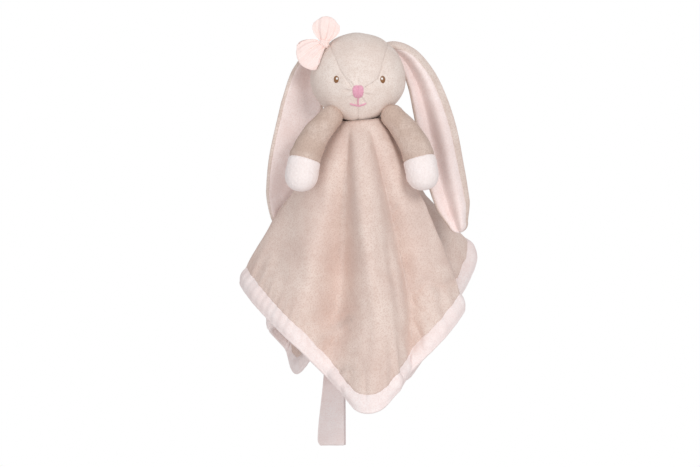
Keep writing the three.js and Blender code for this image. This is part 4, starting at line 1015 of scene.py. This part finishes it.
plug = weld("neck_pleats", np.stack([x, y, z], -1), patch_faces(*x.shape, True))
dress(plug, blanket_velour, "toy", "neck_gather")

# Pacifier strap: a flat tube of the pink velour, turned and pressed. It hangs from the back corner's hem,
# turns up at the foot as a tab, and the tab closes on the front run with hook-and-loop tape.

# Heights of its top and foot, and depths of its front run, its sewn top, the tab's seam and the tab.
strap_cloth, strap_x = 1.6, -23.161
strap_half = strap_cloth / 2
strap_top, strap_floor, strap_run, strap_crown = -288.062, -366.062, 125.005, 128.105
foot_seam, tab_back = 131.855, 132.805


def ribbon(name, line, edges, seed, wave=0.35):
    """A flat tube along a line of y and z, rounded at its bends. Its section is a flat oval, thicker at its
    two sewn edges. edges gives where those hang at a height, and wave is how far its surface sways."""
    step = np.concatenate([[0], np.cumsum(np.hypot(*np.diff(line, axis=0).T))])
    along = np.linspace(0, step[-1], int(step[-1] / 0.8))
    y, z = [np.interp(along, step, line[:, k]) for k in (0, 1)]
    for _ in range(3):
        y[1:-1], z[1:-1] = (y[:-2] + 2 * y[1:-1] + y[2:]) / 4, (z[:-2] + 2 * z[1:-1] + z[2:]) / 4
    way = unit(np.stack([0 * y, np.gradient(y), np.gradient(z)], -1))
    out = np.cross(way, [1.0, 0, 0])
    turn = np.linspace(0, 2 * np.pi, 72, endpoint=False)
    c, s = np.cos(turn), np.sin(turn)
    across = np.abs(c) ** 0.35 * np.sign(c)
    thick = np.abs(s) ** 0.6 * np.sign(s) * (0.42 + 0.12 * bell(np.abs(across) - 0.9, 0.08))
    left, right = edges(z)
    x = (left + right)[:, None] / 2 + (right - left)[:, None] / 2 * across
    p = np.stack([x, y[:, None] + 0 * x, z[:, None] + 0 * x], -1)
    p = p + out[:, None] * (strap_cloth * thick)[None, :, None]
    bumpy = 0.12 * ripple(p, 3, seed, 14) + wave * ripple(p * [1, 0, 1], 21, seed + 1)
    return cords(name, [p + out[:, None] * bumpy[..., None]])


def falling(left_top, left_low, right_top, right_low, round_left):
    """Edges of the strap: the right one is straight from the top to the foot, the left one leans out in an
    eased curve and is rounded in at the foot."""
    def edges(z):
        share = np.clip((strap_top - z) / (strap_top - strap_floor), 0, 1)
        low = np.clip((z - strap_floor) / 7, 0, 1)
        left = left_top + (left_low - left_top) * ease(share) + round_left * (1 - low) ** 2.4
        return left, right_top + (right_low - right_top) * share
    return edges


hem_tuck, foot_middle = 5, strap_floor + strap_half
run = np.array([[strap_crown - 0.5, strap_top + hem_tuck], [strap_crown, strap_top - 11],
                [strap_run, strap_top - 22], [strap_run, foot_middle + 2.2],
                [strap_run + 0.8, foot_middle + 0.5], [strap_run + 2.4, foot_middle],
                [foot_seam, foot_middle]])
strap = ribbon("pacifier_strap", run, falling(-30.5, -36.6, -12.4, -12.0, 3.2), 101)
dress(strap, blanket_lining, "strap_loop", "strap")

# The tab stands up behind the front run and bends toward it below the tapes, which lie between the two.
tab_height, tape_height, tape_inset, tape_half_width, tape_cloth, tape_rim = 50, 14, 1.6, 9, 1.1, 0.3
tape_foot = strap_floor + tab_height - tape_height - tape_inset
run_back = strap_run + strap_half
tab_front = run_back + 3.1
tab_line = np.array([[foot_seam + 0.3, foot_middle], [tab_back + 0.2, foot_middle + 0.05],
                     [tab_back + strap_half, foot_middle + 1.4], [tab_back + strap_half, tape_foot - 7],
                     [tab_front + strap_half, tape_foot], [tab_front + strap_half, strap_floor + tab_height]])
tab = ribbon("pacifier_strap_tab", tab_line, falling(-31.0, -34.6, -11.0, -10.6, 0.0), 105)
dress(tab, blanket_lining, "tab", "strap_tab")


def fastener(name, light, dark, pitch, lift):
    """Woven nylon hook-and-loop tape, half matt: hooks or loops, pitch millimetres apart, whose middles catch
    the light, on a ground that lies in their shade. The pattern is the distance to scattered points."""
    material, tree, shader, place = finish(name, 0.6)
    cells = node(tree, "ShaderNodeTexVoronoi", {"Vector": place, "Scale": 1000 / pitch}).outputs["Distance"]
    shade(tree, shader, cells, light, dark)
    raise_nap(tree, shader, cells, 0.6, lift)
    return material


def tape(name, middle, facing):
    """A small patch of tape: a flat slab, whose face inside its bound edge is raised in rows of tufts, the
    product of two cosines. middle is how far behind the crown it lies, and facing is 1 toward the back."""
    u, v = np.meshgrid(np.linspace(-1, 1, 61), np.linspace(-1, 1, 49), indexing="ij")
    edge = np.maximum(np.abs(u), np.abs(v)) > 0.86
    x, z = strap_x + tape_half_width * u, tape_foot + 0.8 + (tape_height - 0.8) / 2 * (1 + v)
    tufts = np.where(edge, 0, 0.18 + 0.12 * np.cos(u * 9 * 2 * np.pi) * np.cos(v * 7 * 2 * np.pi))
    front = np.stack([x, middle + facing * (tape_cloth / 2 - tape_rim + tufts), z], -1)
    flat_back = np.stack([x, np.full_like(x, middle - facing * tape_cloth / 2), z], -1)
    return shell(name, front, flat_back)


loop_tape = fastener("nylon_loop_tape", "#fbf5f3", "#e9dcd9", 0.7, 0.4)
hook_tape = fastener("nylon_hook_tape", "#f6efee", "#d9cbc8", 0.9, 0.3)
from_cloth = tape_rim + tape_cloth / 2
dress(tape("strap_loop_tape", run_back + from_cloth, 1), loop_tape, "strap_loop", "strap_loop_patch")
dress(tape("strap_hook_tape", tab_front - from_cloth, -1), hook_tape, "tab", "strap_hook_patch")

# Floor, light and camera: the toy hangs by its crown over a plain pale floor, in soft light from all round
# with a broad lamp high on the right and a weaker one on the left. The background is plain white.

floor_radius, floor_level = 1600, -600
floor_material, tree, shader, _ = finish("floor_matt_white", 0.9)
grain = node(tree, "ShaderNodeTexNoise", {"Scale": 6.0, "Detail": 2.0}).outputs["Fac"]
shade(tree, shader, grain, "#f6f5f4", "#fbfafa")
turn = np.linspace(0, 2 * np.pi, 96, endpoint=False)
rings = floor_radius * np.linspace(0, 1, 12)[:, None]
disc = np.stack([rings * np.cos(turn), rings * np.sin(turn), floor_level + 0 * rings * turn], -1)
floor = weld("floor", disc, patch_faces(12, 96, True), closed=False)
floor.data.materials.append(floor_material)

# The world is white where the camera, gloss or glass sees it, and a soft grey for what it lights.
world = bpy.data.worlds.new("soft_studio")
bpy.context.scene.world = world
world.use_nodes = True
tree = world.node_tree
path = node(tree, "ShaderNodeLightPath").outputs
seen = joined(tree, path["Is Camera Ray"], path["Is Glossy Ray"], "MAXIMUM")
seen = joined(tree, seen, path["Is Transmission Ray"], "MAXIMUM")
white = node(tree, "ShaderNodeMix", data_type="RGBA")
tree.links.new(seen, white.inputs[0])
white.inputs[6].default_value = (0.5, 0.495, 0.5, 1)
white.inputs[7].default_value = (1, 1, 1, 1)
tree.links.new(white.outputs[2], tree.nodes["Background"].inputs["Color"])


def lamp(name, place, aim, size, power, colour):
    """A soft square lamp at a place, in metres, turned to face aim."""
    light = bpy.data.lights.new(name, "AREA")
    light.shape = "SQUARE"
    light.size, light.energy, light.color = size, power, colour
    stand = bpy.data.objects.new(name, light)
    stand.location = place
    stand.rotation_euler = (Vector(place) - Vector(aim)).to_track_quat("Z", "Y").to_euler()
    bpy.context.scene.collection.objects.link(stand)
    return stand


middle_of_toy = (0.0, 0.03, -0.17)
lamp("key", (0.7, -1.7, 0.55), middle_of_toy, 0.6, 13.5, (1.0, 0.985, 0.97))
lamp("fill", (-0.9, -1.9, -0.2), middle_of_toy, 1.2, 8.5, (1.0, 0.99, 0.98))

# A long lens 1.8 m away, about level with the toy's middle.
camera = bpy.data.objects.new("camera", bpy.data.cameras.new("camera"))
camera.data.lens, camera.data.sensor_width = 108.15, 36.0
camera.location = (-0.0068, -1.8, -0.1716)
camera.rotation_euler = (math.pi / 2, 0, 0)
bpy.context.scene.collection.objects.link(camera)
bpy.context.scene.camera = camera
bpy.context.scene.view_settings.view_transform = "Standard"

bpy.context.view_layer.update()
